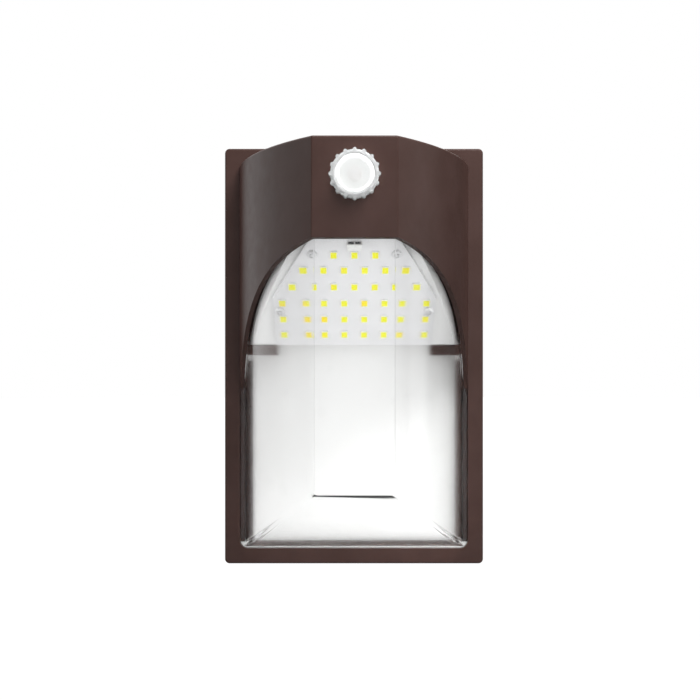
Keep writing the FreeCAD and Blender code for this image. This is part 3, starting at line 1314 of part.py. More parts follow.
def make_photocell_cap():
    at = (as_size(0), CAP_REAR_Y, CELL_Z)
    drum = S.CapRadius - S.ScallopRadius * 0.55
    core = rod("cap_core", at, "-Y", drum, S.CapDepth)
    bumps = []
    count = int(number(S.ScallopCount))
    reach = S.CapRadius - S.ScallopRadius
    for index in range(count):
        turn = 2 * math.pi * index / count
        place = (reach * math.sin(turn), CAP_REAR_Y, CELL_Z + reach * math.cos(turn))
        bumps.append(rod("cap_bump", place, "-Y", S.ScallopRadius, S.CapDepth - S.ScallopChamfer))
    thread = rod("cap_thread", at, "-Y", S.BarrelRadius + S.CapThreadGap, S.CapDepth - S.CapFront)
    whole = cut("cap_hollow", fuse("cap_solid", [core] + bumps), thread)
    return finished(whole, "photocell_cap")


# ---------------------------------------------------------------- wires inside


def bent_wire(points, radius):
    """A round wire along straight runs with the largest tangent arc that each corner allows."""
    spots = [FreeCAD.Vector(*point) for point in points]
    runs = [(after - before).Length for before, after in zip(spots, spots[1:])]
    edges = []
    start = spots[0]
    bends = []
    for index in range(1, len(spots) - 1):
        before = (spots[index] - spots[index - 1]).normalize()
        after = (spots[index + 1] - spots[index]).normalize()
        turn = before.getAngle(after)
        reach = 0.45 * min(runs[index - 1], runs[index])
        bend = reach / math.tan(turn / 2)
        bends.append(round(bend, 1))
        first = spots[index] - before * reach
        last = spots[index] + after * reach
        inward = (after - before).normalize()
        middle = spots[index] + inward * (bend / math.cos(turn / 2) - bend)
        edges.append(Part.LineSegment(start, first).toShape())
        edges.append(Part.Arc(first, middle, last).toShape())
        start = last
    edges.append(Part.LineSegment(start, spots[-1]).toShape())
    path = Part.Wire(edges)
    ring_wire = Part.Wire([Part.Circle(spots[0], spots[1] - spots[0], radius).toShape()])
    tube = path.makePipeShell([ring_wire], True, False)
    expected = math.pi * radius * radius * path.Length
    print("wire bends", bends, "volume against section times length", round(tube.Volume / expected, 4))
    return tube


def feature_from(shapes, label):
    thing = doc.addObject("Part::Feature", label + "_shape")
    thing.Shape = Part.makeCompound(shapes)
    return finished(thing, label)


def make_led_leads():
    rear_y, rear_z = (number(item) for item in on_slope(LEAD_ALONG, -S.BoardThickness))
    case_y = number(CASE_FRONT_Y)
    lead_z = number(LED_LEAD_Z)
    wires = []
    for side in SIDES:
        x = side * number(S.LeadSpread)
        slope = math.radians(number(S.BoardTilt))
        out = 9.0
        knee = (x, rear_y + out * math.sin(slope), rear_z + out * math.cos(slope))
        rise = (x, (knee[1] + case_y) / 2, lead_z + 1.5)
        route = [(x, rear_y, rear_z), knee, rise, (x, case_y + 1, lead_z)]
        wires.append(bent_wire(route, number(S.LeadRadius)))
    return feature_from(wires, "led_leads")


def make_photocell_leads():
    start_y = number(HOLDER_FACE_Y + S.HolderFloor) + 0.1
    start_z = number(CELL_Z)
    case_y = number(CASE_FRONT_Y)
    lead_z = number(CELL_LEAD_Z)
    wires = []
    for side in SIDES:
        x = side * number(S.CellLeadSpread)
        near = (x, number(BARREL_REAR_Y) - 4, start_z + 0.4)
        far = (x, (number(BARREL_REAR_Y) + case_y) / 2 + 4, lead_z + 1.0)
        route = [(x, start_y, start_z), near, far, (x, case_y + 1, lead_z)]
        wires.append(bent_wire(route, number(S.LeadRadius)))
    return feature_from(wires, "photocell_leads")


# ---------------------------------------------------------------- build, check and write

MAKERS = [
    make_wall_gasket, make_back_plate, make_wire_grommet, make_body_gasket, make_hinge_pins, make_cover_screws,
    make_ground_screw, make_front_housing, make_lens, make_lens_gasket, make_reflector, make_led_board,
    make_thermal_pad, make_heat_spreader, make_led_chips, make_led_board_screws, make_board_connector,
    make_reflector_screws, make_driver_case, make_driver_lid, make_driver_board, make_driver_transformer,
    make_driver_capacitors, make_driver_inductor, make_driver_screws, make_terminal_block, make_terminal_screws,
    make_photocell_holder, make_photocell_sensor, make_cap_seal, make_photocell_cap, make_led_leads,
    make_photocell_leads,
]


def write_all():
    doc.recompute()
    for thing in doc.Objects:
        if "Invalid" in thing.State or "Error" in thing.State:
            raise RuntimeError(f"{thing.Name} failed: {thing.State}")
    os.makedirs("parts", exist_ok=True)
    for thing in sub_parts:
        shape = thing.Shape
        if shape.isNull() or not shape.isValid() or shape.Volume <= 0:
            raise RuntimeError(f"{thing.Label} has no valid shape")
    for thing in sub_parts:
        thing.Shape.exportStep(f"parts/{thing.Label}.step")
        print(thing.Label, len(thing.Shape.Solids), "solids", round(thing.Shape.Volume, 1), "mm3")


for make in MAKERS:
    make()
write_all()
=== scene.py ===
# %% [markdown]
# A small outdoor wall pack light. A dark bronze die-cast housing carries a clear lens that wraps round under
# its hood, a sloped board with 40 LEDs lies behind the lens, and a clear scalloped cap covers the photocell.
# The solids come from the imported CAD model, which is the frame: every piece made here is put where the frame
# says, in metres, with the wall at y = 0, the light facing -Y and Z up.

# %% Load the frame
import bmesh
import bpy
import math
from mathutils import Matrix, Vector


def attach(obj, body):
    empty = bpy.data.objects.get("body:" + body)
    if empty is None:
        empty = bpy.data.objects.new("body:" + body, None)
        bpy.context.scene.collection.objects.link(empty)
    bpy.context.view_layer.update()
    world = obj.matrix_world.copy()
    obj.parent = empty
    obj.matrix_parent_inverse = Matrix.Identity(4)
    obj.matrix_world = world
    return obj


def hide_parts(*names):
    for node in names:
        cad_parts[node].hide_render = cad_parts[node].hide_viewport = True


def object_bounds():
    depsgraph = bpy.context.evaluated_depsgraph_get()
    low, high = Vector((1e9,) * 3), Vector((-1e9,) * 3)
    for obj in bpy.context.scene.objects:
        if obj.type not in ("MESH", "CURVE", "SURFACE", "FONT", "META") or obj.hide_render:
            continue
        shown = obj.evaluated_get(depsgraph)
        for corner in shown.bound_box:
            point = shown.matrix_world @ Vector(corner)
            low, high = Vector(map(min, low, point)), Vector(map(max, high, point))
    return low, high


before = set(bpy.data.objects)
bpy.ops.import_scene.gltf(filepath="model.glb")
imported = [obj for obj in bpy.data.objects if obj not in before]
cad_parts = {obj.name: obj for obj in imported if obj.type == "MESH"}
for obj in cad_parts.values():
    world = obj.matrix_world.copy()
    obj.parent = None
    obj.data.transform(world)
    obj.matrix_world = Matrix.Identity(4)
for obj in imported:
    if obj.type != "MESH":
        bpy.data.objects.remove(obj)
cad_low, cad_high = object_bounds()
MM = 0.001
print("frame", len(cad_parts), "nodes, box", [round(v / MM, 1) for v in (*cad_low, *cad_high)])

# %% [markdown]
# The photograph was taken straight from the front, from about half a metre away: the flange's sides are
# upright and parallel, and only the hood's flat top shows perspective. A level camera with no shift and no
# turn gives that. The focal length follows from the flange being 258 pixels wide in a 700 pixel picture.

# %% Camera
PICTURE = 700
FOCAL_PIXELS = 1220
SENSOR = 36.0
CAMERA_PLACE = (-1.73 * MM, -545 * MM, 2.65 * MM)

camera_data = bpy.data.cameras.new("camera")
camera_data.sensor_width = SENSOR
camera_data.lens = FOCAL_PIXELS / PICTURE * SENSOR
camera = bpy.data.objects.new("camera", camera_data)
camera.location = CAMERA_PLACE
camera.rotation_euler = (math.radians(90), 0, 0)
bpy.context.scene.collection.objects.link(camera)
bpy.context.scene.camera = camera
bpy.context.scene.view_settings.view_transform = "Standard"
print("camera lens", round(camera_data.lens, 2), "mm")

# %% [markdown]
# The background is pure white. A white world would also flood the object with light, so the world is white
# only for rays that come from the camera, or by way of a reflection or through the lens. For everything else
# it is a softer grey, which acts as a large, even fill light.

# %% World
def seen_rays(tree):
    """A value of 1 for rays that show the surroundings: straight, mirrored or through the lens."""
    path = tree.nodes.new("ShaderNodeLightPath")
    total = None
    for kind in ("Is Camera Ray", "Is Glossy Ray", "Is Transmission Ray"):
        if total is None:
            total = path.outputs[kind]
            continue
        either = tree.nodes.new("ShaderNodeMath")
        either.operation = "MAXIMUM"
        tree.links.new(total, either.inputs[0])
        tree.links.new(path.outputs[kind], either.inputs[1])
        total = either.outputs[0]
    return total


FILL = 0.13
world = bpy.data.worlds.new("studio")
world.use_nodes = True
bpy.context.scene.world = world
tree = world.node_tree
level = tree.nodes.new("ShaderNodeMapRange")
level.inputs["To Min"].default_value = FILL
level.inputs["To Max"].default_value = 1.0
tree.links.new(seen_rays(tree), level.inputs["Value"])
tree.nodes["Background"].inputs["Color"].default_value = (1, 1, 1, 1)
tree.links.new(level.outputs["Result"], tree.nodes["Background"].inputs["Strength"])
print("world fill", FILL)

# %% [markdown]
# The floor lies well below the light, which hangs on a wall. Most of its white is a glow of its own for the
# rays that see it, so that it stays white in the picture. It takes only a trace of the object's shadow. The
# lamps' light thins out with the distance, so the glow grows to make up for it.

# %% Floor
FLOOR_DROP = 160 * MM
FLOOR_RADIUS = 6.0
FLOOR_GREY = 0.16
GLOW_NEAR = 0.93
GLOW_FAR = 0.99
GLOW_FROM, GLOW_TO = 0.3, 1.8


def white_floor():
    material = bpy.data.materials.new("white_floor")
    material.use_nodes = True
    tree = material.node_tree
    shader = tree.nodes["Principled BSDF"]
    shader.inputs["Base Color"].default_value = (FLOOR_GREY, FLOOR_GREY, FLOOR_GREY, 1)
    shader.inputs["Roughness"].default_value = 0.9
    shader.inputs["Emission Color"].default_value = (1, 1, 1, 1)
    place = tree.nodes.new("ShaderNodeTexCoord")
    away = tree.nodes.new("ShaderNodeVectorMath")
    away.operation = "LENGTH"
    tree.links.new(place.outputs["Object"], away.inputs[0])
    level = tree.nodes.new("ShaderNodeMapRange")
    level.inputs["From Min"].default_value = GLOW_FROM
    level.inputs["From Max"].default_value = GLOW_TO
    level.inputs["To Min"].default_value = GLOW_NEAR
    level.inputs["To Max"].default_value = GLOW_FAR
    tree.links.new(away.outputs["Value"], level.inputs["Value"])
    glow = tree.nodes.new("ShaderNodeMath")
    glow.operation = "MULTIPLY"
    tree.links.new(level.outputs["Result"], glow.inputs[0])
    tree.links.new(seen_rays(tree), glow.inputs[1])
    tree.links.new(glow.outputs[0], shader.inputs["Emission Strength"])
    return material


bm = bmesh.new()
bmesh.ops.create_circle(bm, cap_ends=True, segments=64, radius=FLOOR_RADIUS)
bmesh.ops.translate(bm, verts=bm.verts, vec=(0, 0, cad_low.z - FLOOR_DROP))
floor_mesh = bpy.data.meshes.new("floor")
bm.to_mesh(floor_mesh)
bm.free()
floor = bpy.data.objects.new("floor", floor_mesh)
floor.data.materials.append(white_floor())
bpy.context.scene.collection.objects.link(floor)
print("floor at", round(floor.data.vertices[0].co.z, 3), "m")

# %% [markdown]
# Product pictures of dark paint need broad lamps: a small lamp would give a hard spot on the semi-gloss
# powder coat. The main soft box hangs close, above the camera and a little to its right, so that the top of
# the housing is brighter than its foot and the right side than the left. A weak one grazes the left side, and
# another one in front lights the LED board under the hood. A dark card on the right, just outside the
# picture, draws a dark edge on the clear lens and the hood there.

# %% Lamps
def soft_box(name, place, aim, width, watts):
    data = bpy.data.lights.new(name, "AREA")
    data.shape = "SQUARE"
    data.size = width
    data.energy = watts
    lamp = bpy.data.objects.new(name, data)
    lamp.location = place
    lamp.rotation_euler = (Vector(aim) - Vector(place)).to_track_quat("-Z", "Y").to_euler()
    bpy.context.scene.collection.objects.link(lamp)
    return lamp


CARD_PLACE = (0.461, 0.698, 0.06)
CARD_WIDTH, CARD_HEIGHT = 1.3, 0.9
CARD_TURN = math.radians(72)


def dark_card():
    """A matt black card beside the background, out of the picture."""
    material = bpy.data.materials.new("dark_card")
    material.use_nodes = True
    shader = material.node_tree.nodes["Principled BSDF"]
    shader.inputs["Base Color"].default_value = (0.02, 0.02, 0.02, 1)
    shader.inputs["Roughness"].default_value = 0.9
    bm = bmesh.new()
    upright = Matrix.Rotation(math.radians(90), 4, "X") @ Matrix.Diagonal((CARD_WIDTH, CARD_HEIGHT, 1, 1))
    turn = Matrix.Translation(CARD_PLACE) @ Matrix.Rotation(CARD_TURN, 4, "Z")
    bmesh.ops.create_grid(bm, x_segments=1, y_segments=1, size=0.5, matrix=turn @ upright)
    mesh = bpy.data.meshes.new("dark_card")
    bm.to_mesh(mesh)
    bm.free()
    card = bpy.data.objects.new("dark_card", mesh)
    mesh.materials.append(material)
    bpy.context.scene.collection.objects.link(card)


soft_box("key_soft_box", (0.13, -0.25, 0.42), (0, -0.07, 0.05), 0.24, 2.85)
soft_box("front_soft_box", (0.12, -0.9, 0.02), (0, 0, 0), 0.5, 0.95)
soft_box("left_soft_box", (-0.9, -0.02, 0.45), (0, -0.05, 0.05), 0.4, 1.4)
dark_card()

# %% [markdown]
# Every finish starts from one Principled shader. Real surfaces are never one even colour, so each finish
# mixes two close colours with a noise, lets the gloss wander a little, and has a fine relief. The noise reads
# Object coordinates, which are metres here, so a scale of 1000 gives grains about a millimetre across.

# %% Helpers for finishes
class Finish:
    """One material and the parts of its node tree that the finishes below add to."""

    def __init__(self, name, colour, roughness, metallic=0.0):
        self.material = bpy.data.materials.new(name)
        self.material.use_nodes = True
        self.material.diffuse_color = (*colour, 1)
        self.tree = self.material.node_tree
        self.shader = self.tree.nodes["Principled BSDF"]
        self.set("Base Color", (*colour, 1))
        self.set("Roughness", roughness)
        self.set("Metallic", metallic)
        self.place = self.tree.nodes.new("ShaderNodeTexCoord").outputs["Object"]
        self.relief = None

    def set(self, socket, value):
        self.shader.inputs[socket].default_value = value

    def noise(self, scale, detail=3.0, stretch=(1, 1, 1)):
        """A noise with the number of grains per metre given, stretched along an axis if asked."""
        mapping = self.tree.nodes.new("ShaderNodeMapping")
        mapping.inputs["Scale"].default_value = stretch
        self.tree.links.new(self.place, mapping.inputs["Vector"])
        noise = self.tree.nodes.new("ShaderNodeTexNoise")
        noise.inputs["Scale"].default_value = scale
        noise.inputs["Detail"].default_value = detail
        self.tree.links.new(mapping.outputs["Vector"], noise.inputs["Vector"])
        return noise.outputs["Fac"]

    def mottle(self, value, first, second, low=0.35, high=0.65):
        """Mix two colours by a noise."""
        ramp = self.tree.nodes.new("ShaderNodeValToRGB")
        ramp.color_ramp.elements[0].position = low
        ramp.color_ramp.elements[1].position = high
        ramp.color_ramp.elements[0].color = (*first, 1)
        ramp.color_ramp.elements[1].color = (*second, 1)
        self.tree.links.new(value, ramp.inputs["Fac"])
        self.tree.links.new(ramp.outputs["Color"], self.shader.inputs["Base Color"])

    def gloss(self, value, low, high):
        """Let the roughness wander between two values."""
        level = self.tree.nodes.new("ShaderNodeMapRange")
        level.inputs["From Min"].default_value = 0.3
        level.inputs["From Max"].default_value = 0.7
        level.inputs["To Min"].default_value = low
        level.inputs["To Max"].default_value = high
        self.tree.links.new(value, level.inputs["Value"])
        self.tree.links.new(level.outputs["Result"], self.shader.inputs["Roughness"])

    def bump(self, value, depth, strength=1.0):
        """A relief of the depth given, in metres, over any relief that is already there."""
        bump = self.tree.nodes.new("ShaderNodeBump")
        bump.inputs["Distance"].default_value = depth
        bump.inputs["Strength"].default_value = strength
        self.tree.links.new(value, bump.inputs["Height"])
        if self.relief is not None:
            self.tree.links.new(self.relief, bump.inputs["Normal"])
        self.relief = bump.outputs["Normal"]
        self.tree.links.new(self.relief, self.shader.inputs["Normal"])


print("helpers for finishes ready")

# %% [markdown]
# The housing is powder coated in dark bronze: a brown that is nearly black, with a soft gloss. The powder
# melts into a skin like orange peel, about a millimetre from crest to crest, and a far finer grain on top
# breaks up the reflections.

# %% Bronze powder coat
def bronze_coat(name, dark, light, rough_low, rough_high):
    coat = Finish(name, dark, rough_low)
    coat.mottle(coat.noise(60, 4), dark, light)
    coat.gloss(coat.noise(180, 3), rough_low, rough_high)
    coat.bump(coat.noise(850, 2), 0.02 * MM, 0.5)
    coat.bump(coat.noise(4200, 2), 0.006 * MM, 0.6)
    coat.set("Specular IOR Level", 0.14)
    return coat.material


bronze_paint = bronze_coat("bronze_paint", (0.066, 0.034, 0.028), (0.078, 0.042, 0.036), 0.34, 0.42)
plate_paint = bronze_coat("plate_paint", (0.070, 0.036, 0.030), (0.082, 0.044, 0.037), 0.48, 0.58)
print("bronze finishes", bronze_paint.name, plate_paint.name)

# %% [markdown]
# The lens is polycarbonate with a light frost, so things close behind it look sharp and things further back
# look blurred. Transmission with a little roughness does exactly that. A refracting surface blocks the lamps'
# direct light in a path tracer and the inside would turn grey, so shadow rays are let through it. The index
# is lower than the real 1.58, at which the creases would trap the light and turn black. The photocell's cap
# is slightly milky.

# %% Clear plastics
OPEN_TO_SHADOW_RAYS = 0.97


def let_light_through(finish, share):
    """Let shadow rays pass, so that the lamps reach what lies behind the clear plastic."""
    nodes, links = finish.tree.nodes, finish.tree.links
    path = nodes.new("ShaderNodeLightPath")
    open_part = nodes.new("ShaderNodeMath")
    open_part.operation = "MULTIPLY"
    open_part.inputs[1].default_value = share
    links.new(path.outputs["Is Shadow Ray"], open_part.inputs[0])
    through = nodes.new("ShaderNodeBsdfTransparent")
    mix = nodes.new("ShaderNodeMixShader")
    links.new(open_part.outputs[0], mix.inputs["Fac"])
    links.new(finish.shader.outputs["BSDF"], mix.inputs[1])
    links.new(through.outputs["BSDF"], mix.inputs[2])
    links.new(mix.outputs["Shader"], nodes["Material Output"].inputs["Surface"])


def clear_plastic(name, tint, rough_low, rough_high, ior, clearness):
    plastic = Finish(name, tint, rough_low)
    plastic.mottle(plastic.noise(90, 2), tint, tuple(min(1.0, c * 1.01) for c in tint))
    plastic.gloss(plastic.noise(400, 3), rough_low, rough_high)
    plastic.bump(plastic.noise(1500, 2), 0.003 * MM, 0.3)
    plastic.set("Transmission Weight", clearness)
    plastic.set("IOR", ior)
    let_light_through(plastic, OPEN_TO_SHADOW_RAYS)
    return plastic.material


clear_lens = clear_plastic("clear_lens", (0.985, 0.988, 0.985), 0.08, 0.12, 1.22, 1.0)
clear_cap = clear_plastic("clear_cap", (0.96, 0.97, 0.97), 0.03, 0.07, 1.45, 0.72)
print("clear finishes", clear_lens.name, clear_cap.name)

# %% [markdown]
# Behind the lens everything is white: the folded reflector has a smooth baked enamel, the LED board a
# slightly greyer solder mask. Their reliefs are hardly there, because the lens blurs them anyway, but a close
# view without the lens still shows a painted and a printed surface.

# %% White finishes
def white_enamel():
    enamel = Finish("white_enamel", (0.84, 0.84, 0.837), 0.3)
    enamel.mottle(enamel.noise(45, 3), (0.835, 0.835, 0.832), (0.85, 0.85, 0.848))
    enamel.gloss(enamel.noise(150, 2), 0.27, 0.36)
    enamel.bump(enamel.noise(700, 2), 0.012 * MM, 0.35)
    return enamel.material


def solder_mask():
    mask = Finish("white_solder_mask", (0.745, 0.745, 0.757), 0.35)
    mask.mottle(mask.noise(120, 4), (0.735, 0.735, 0.748), (0.765, 0.765, 0.778))
    mask.gloss(mask.noise(260, 2), 0.3, 0.42)
    mask.bump(mask.noise(2600, 3), 0.008 * MM, 0.5)
    return mask.material


def nylon():
    plastic = Finish("white_nylon", (0.80, 0.80, 0.785), 0.42)
    plastic.mottle(plastic.noise(140, 3), (0.78, 0.78, 0.765), (0.83, 0.83, 0.82))
    plastic.gloss(plastic.noise(300, 2), 0.36, 0.5)
    plastic.bump(plastic.noise(1800, 2), 0.01 * MM, 0.4)
    plastic.set("Subsurface Weight", 0.15)
    plastic.set("Subsurface Radius", (0.001, 0.001, 0.001))
    return plastic.material


white_paint = white_enamel()
white_board = solder_mask()
white_nylon = nylon()
print("white finishes", white_paint.name, white_board.name, white_nylon.name)

# %% [markdown]
# Each LED is a white plastic frame round a pool of silicone with yellow phosphor in it. The phosphor is a
# strong lemon yellow when the light is off, with darker and paler grains where the powder has settled.

# %% LED finishes
def phosphor():
    pool = Finish("led_phosphor", (0.88, 0.84, 0.004), 0.35)
    pool.mottle(pool.noise(75, 1), (0.95, 0.74, 0.002), (0.87, 0.87, 0.006), 0.3, 0.46)
    pool.gloss(pool.noise(900, 2), 0.18, 0.32)
    pool.bump(pool.noise(2500, 2), 0.01 * MM, 0.4)
    pool.set("Specular IOR Level", 0.3)
    return pool.material


def led_frame():
    frame_plastic = Finish("led_frame", (0.84, 0.84, 0.80), 0.4)
    frame_plastic.mottle(frame_plastic.noise(1200, 2), (0.82, 0.82, 0.77), (0.87, 0.87, 0.83))
    frame_plastic.gloss(frame_plastic.noise(1500, 2), 0.35, 0.5)
    frame_plastic.bump(frame_plastic.noise(4000, 2), 0.005 * MM, 0.4)
    return frame_plastic.material


led_yellow = phosphor()
led_white = led_frame()
print("LED finishes", led_yellow.name, led_white.name)

# %% [markdown]
# The metals inside are left bare: zinc-plated steel for the screws and pins, milled aluminium for the heat
# spreader. Milling and plating leave marks along one direction, which a noise stretched along an axis gives.

# %% Metals
def plated_steel():
    steel = Finish("zinc_steel", (0.62, 0.62, 0.60), 0.3, 1.0)
    steel.mottle(steel.noise(500, 3), (0.56, 0.56, 0.54), (0.68, 0.68, 0.67))
    steel.gloss(steel.noise(900, 3), 0.22, 0.4)
    steel.bump(steel.noise(3000, 2), 0.004 * MM, 0.4)
    return steel.material


def milled_aluminium():
    metal = Finish("milled_aluminium", (0.72, 0.72, 0.73), 0.34, 1.0)
    metal.mottle(metal.noise(300, 2, (1, 12, 12)), (0.66, 0.66, 0.67), (0.78, 0.78, 0.79))
    metal.gloss(metal.noise(700, 2, (1, 10, 10)), 0.26, 0.44)
    metal.bump(metal.noise(1200, 2, (1, 10, 10)), 0.006 * MM, 0.5)
    return metal.material


def green_lacquer():
    lacquer = Finish("green_lacquer", (0.02, 0.22, 0.06), 0.35)
    lacquer.mottle(lacquer.noise(600, 3), (0.015, 0.19, 0.05), (0.03, 0.27, 0.08))
    lacquer.gloss(lacquer.noise(800, 2), 0.28, 0.45)
    lacquer.bump(lacquer.noise(3000, 2), 0.006 * MM, 0.4)
    lacquer.set("Coat Weight", 0.3)
    return lacquer.material


steel = plated_steel()
bare_aluminium = milled_aluminium()
green_screw = green_lacquer()
print("metal finishes", steel.name, bare_aluminium.name, green_screw.name)

# %% [markdown]
# Rubbers and dark plastics differ mostly in their relief: the foam against the wall has open pores, the
# silicone seals are smooth, and the driver's case has the fine spark-eroded texture of an injection mould.

# %% Rubbers, plastics and the driver's finishes
def plain_finish(name, first, second, rough_low, rough_high, grain, depth, metallic=0.0):
    """A finish of two close colours, a wandering gloss and one grain, for the simpler pieces."""
    made = Finish(name, first, rough_low, metallic)
    made.mottle(made.noise(grain * 0.4, 3), first, second)
    made.gloss(made.noise(grain * 0.6, 2), rough_low, rough_high)
    made.bump(made.noise(grain, 3), depth * MM, 0.6)
    return made


def foam_rubber():
    foam = plain_finish("foam_rubber", (0.035, 0.035, 0.036), (0.06, 0.06, 0.06), 0.85, 0.98, 1500, 0.05)
    pores = foam.tree.nodes.new("ShaderNodeTexVoronoi")
    pores.inputs["Scale"].default_value = 1600
    foam.tree.links.new(foam.place, pores.inputs["Vector"])
    foam.bump(pores.outputs["Distance"], 0.12 * MM, 0.8)
    return foam.material


foam = foam_rubber()
PLAIN_FINISHES = (
    ("black_rubber", (0.018, 0.018, 0.018), (0.032, 0.032, 0.032), 0.5, 0.68, 1800, 0.012),
    ("grey_silicone", (0.40, 0.40, 0.41), (0.47, 0.47, 0.48), 0.45, 0.6, 1500, 0.01),
    ("thermal_silicone", (0.42, 0.45, 0.5), (0.5, 0.53, 0.57), 0.6, 0.8, 2200, 0.02),
    ("dark_plastic", (0.03, 0.03, 0.032), (0.05, 0.05, 0.052), 0.38, 0.5, 2400, 0.012),
    ("black_plastic", (0.022, 0.022, 0.023), (0.036, 0.036, 0.037), 0.48, 0.62, 2800, 0.03),
    ("green_board", (0.012, 0.13, 0.045), (0.02, 0.2, 0.07), 0.3, 0.42, 1200, 0.012),
    ("transformer_tape", (0.62, 0.45, 0.04), (0.72, 0.55, 0.07), 0.3, 0.45, 700, 0.02),
    ("capacitor_sleeve", (0.02, 0.02, 0.03), (0.035, 0.035, 0.05), 0.22, 0.34, 900, 0.008),
    ("ferrite", (0.04, 0.042, 0.045), (0.07, 0.072, 0.075), 0.55, 0.75, 2500, 0.03),
    ("wire_red", (0.42, 0.012, 0.012), (0.5, 0.02, 0.018), 0.32, 0.42, 900, 0.006),
    ("wire_black", (0.02, 0.02, 0.02), (0.03, 0.03, 0.03), 0.32, 0.42, 900, 0.006),
    ("cell_resin", (0.13, 0.09, 0.075), (0.17, 0.12, 0.1), 0.15, 0.25, 1200, 0.006),
)
(black_rubber, grey_silicone, thermal_silicone, dark_plastic, black_plastic, green_board,
 transformer_tape, capacitor_sleeve, ferrite, wire_red, wire_black, cell_resin) = (
    plain_finish(*row).material for row in PLAIN_FINISHES)
print("materials so far", len(bpy.data.materials))

# %% [markdown]
# Shapes come next. A mesh is made from a few operators: most small pieces here are turned, so one helper
# spins a section round an axis, merges the seam and the poles, and makes all faces point outwards.

# %% Helpers for shapes
def along(direction, place):
    """A matrix that takes local +Z to a direction at a place."""
    turn = Vector(direction).to_track_quat("Z", "Y").to_matrix().to_4x4()
    return Matrix.Translation(Vector(place)) @ turn


def turned(bm, section, matrix, steps):
    """Spin a section of (radius, height) points round local Z, and put it in place. A section that starts
    or ends off the axis is left open there. Returns the new vertices."""
    start = [bm.verts.new((radius, 0, height)) for radius, height in section]
    edges = [bm.edges.new(pair) for pair in zip(start, start[1:])]
    before = set(bm.verts) - set(start)
    bmesh.ops.spin(bm, geom=start + edges, cent=(0, 0, 0), axis=(0, 0, 1), angle=2 * math.pi,
                   steps=steps, use_merge=True)
    made = [v for v in bm.verts if v not in before]
    bmesh.ops.remove_doubles(bm, verts=made, dist=1e-7)
    made = [v for v in bm.verts if v not in before]
    bmesh.ops.transform(bm, matrix=matrix, verts=made)
    return made


def block(bm, low, high, matrix, rounding=0.0, segments=2):
    """A box between two local corners, its edges rounded if asked. Returns the new faces."""
    size = [b - a for a, b in zip(low, high)]
    middle = [(a + b) / 2 for a, b in zip(low, high)]
    faces_before = set(bm.faces)
    shape = matrix @ Matrix.Translation(middle) @ Matrix.Diagonal((*size, 1))
    bmesh.ops.create_cube(bm, size=1.0, matrix=shape)
    new = [f for f in bm.faces if f not in faces_before]
    if rounding:
        edges = list({e for f in new for e in f.edges})
        bmesh.ops.bevel(bm, geom=edges, offset=rounding, offset_type="OFFSET", affect="EDGES",
                        segments=segments, profile=0.5, material=-1, clamp_overlap=True)
        new = [f for f in bm.faces if f not in faces_before]
    return new


def finish_piece(bm, name, materials, body, replaced=(), sharp=35):
    """Turn a bmesh into a piece that rides on a body, smooth but for its sharp edges."""
    bmesh.ops.recalc_face_normals(bm, faces=bm.faces)
    for face in bm.faces:
        face.smooth = True
    for edge in bm.edges:
        if len(edge.link_faces) == 2 and edge.calc_face_angle(0) > math.radians(sharp):
            edge.smooth = False
    mesh = bpy.data.meshes.new(name)
    bm.to_mesh(mesh)
    bm.free()
    piece = bpy.data.objects.new(name, mesh)
    for material in materials:
        mesh.materials.append(material)
    bpy.context.scene.collection.objects.link(piece)
    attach(piece, body)
    if replaced:
        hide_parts(*replaced)
    print(name, len(mesh.vertices), "vertices on", body)
    return piece


def merged_copy(node):
    """A CAD node's triangles as one closed bmesh, with its flat faces whole again."""
    bm = bmesh.new()
    bm.from_mesh(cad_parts[node].data)
    bmesh.ops.remove_doubles(bm, verts=bm.verts, dist=1e-6)
    bmesh.ops.dissolve_limit(bm, angle_limit=math.radians(0.5), verts=bm.verts, edges=bm.edges,
                             use_dissolve_boundaries=False)
    return bm


def rounded(piece, width, segments=2, angle=30):
    """Round a piece's sharp edges with a Bevel modifier."""
    bevel = piece.modifiers.new("rounding", "BEVEL")
    bevel.width = width
    bevel.segments = segments
    bevel.limit_method = "ANGLE"
    bevel.angle_limit = math.radians(angle)
    bevel.harden_normals = False
    return piece


def dress(node, material):
    """Give a CAD node its finish."""
    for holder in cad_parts[node].material_slots:
        holder.material = material


print("helpers for shapes ready")

# %% [markdown]
# The housing, the back plate and the reflector keep their CAD shapes, which already have the hood's curved
# sides, the rounded edges, the hinge and the slots. They only get their finishes.

# %% Castings and sheets
dress("front_housing", bronze_paint)
dress("back_plate", plate_paint)
dress("reflector", white_paint)
dress("led_board", white_board)
dress("heat_spreader", bare_aluminium)
dress("thermal_pad", thermal_silicone)
dress("driver_case", black_plastic)
dress("driver_lid", black_plastic)
dress("driver_board", green_board)
dress("driver_transformer", transformer_tape)
dress("terminal_block", white_nylon)
print("CAD nodes dressed")

# %% [markdown]
# A moulded lens never has knife edges. The CAD lens is copied and its loose triangles are merged. Each crease
# then gets a bevel weight: the two that run down from the window's lower corners are soft and wide, the rim is
# barely broken, and the creases round the front strip stay crisp. The strip's inner creases are put straight
# behind its outer ones, because the wedge between them would trap the light and show as a dark line. The
# lower one is dropped a little as well, but a thin dark line still shows there. The rim's back is moved a hair
# off the reflector, or light would be lost between the two.

# %% Lens
LENS_WALL = 2 * MM
CREASE_FADE = 9 * MM
LOWER_CREASE_DROP = 0.35 * MM
RIM_GAP = 0.06 * MM


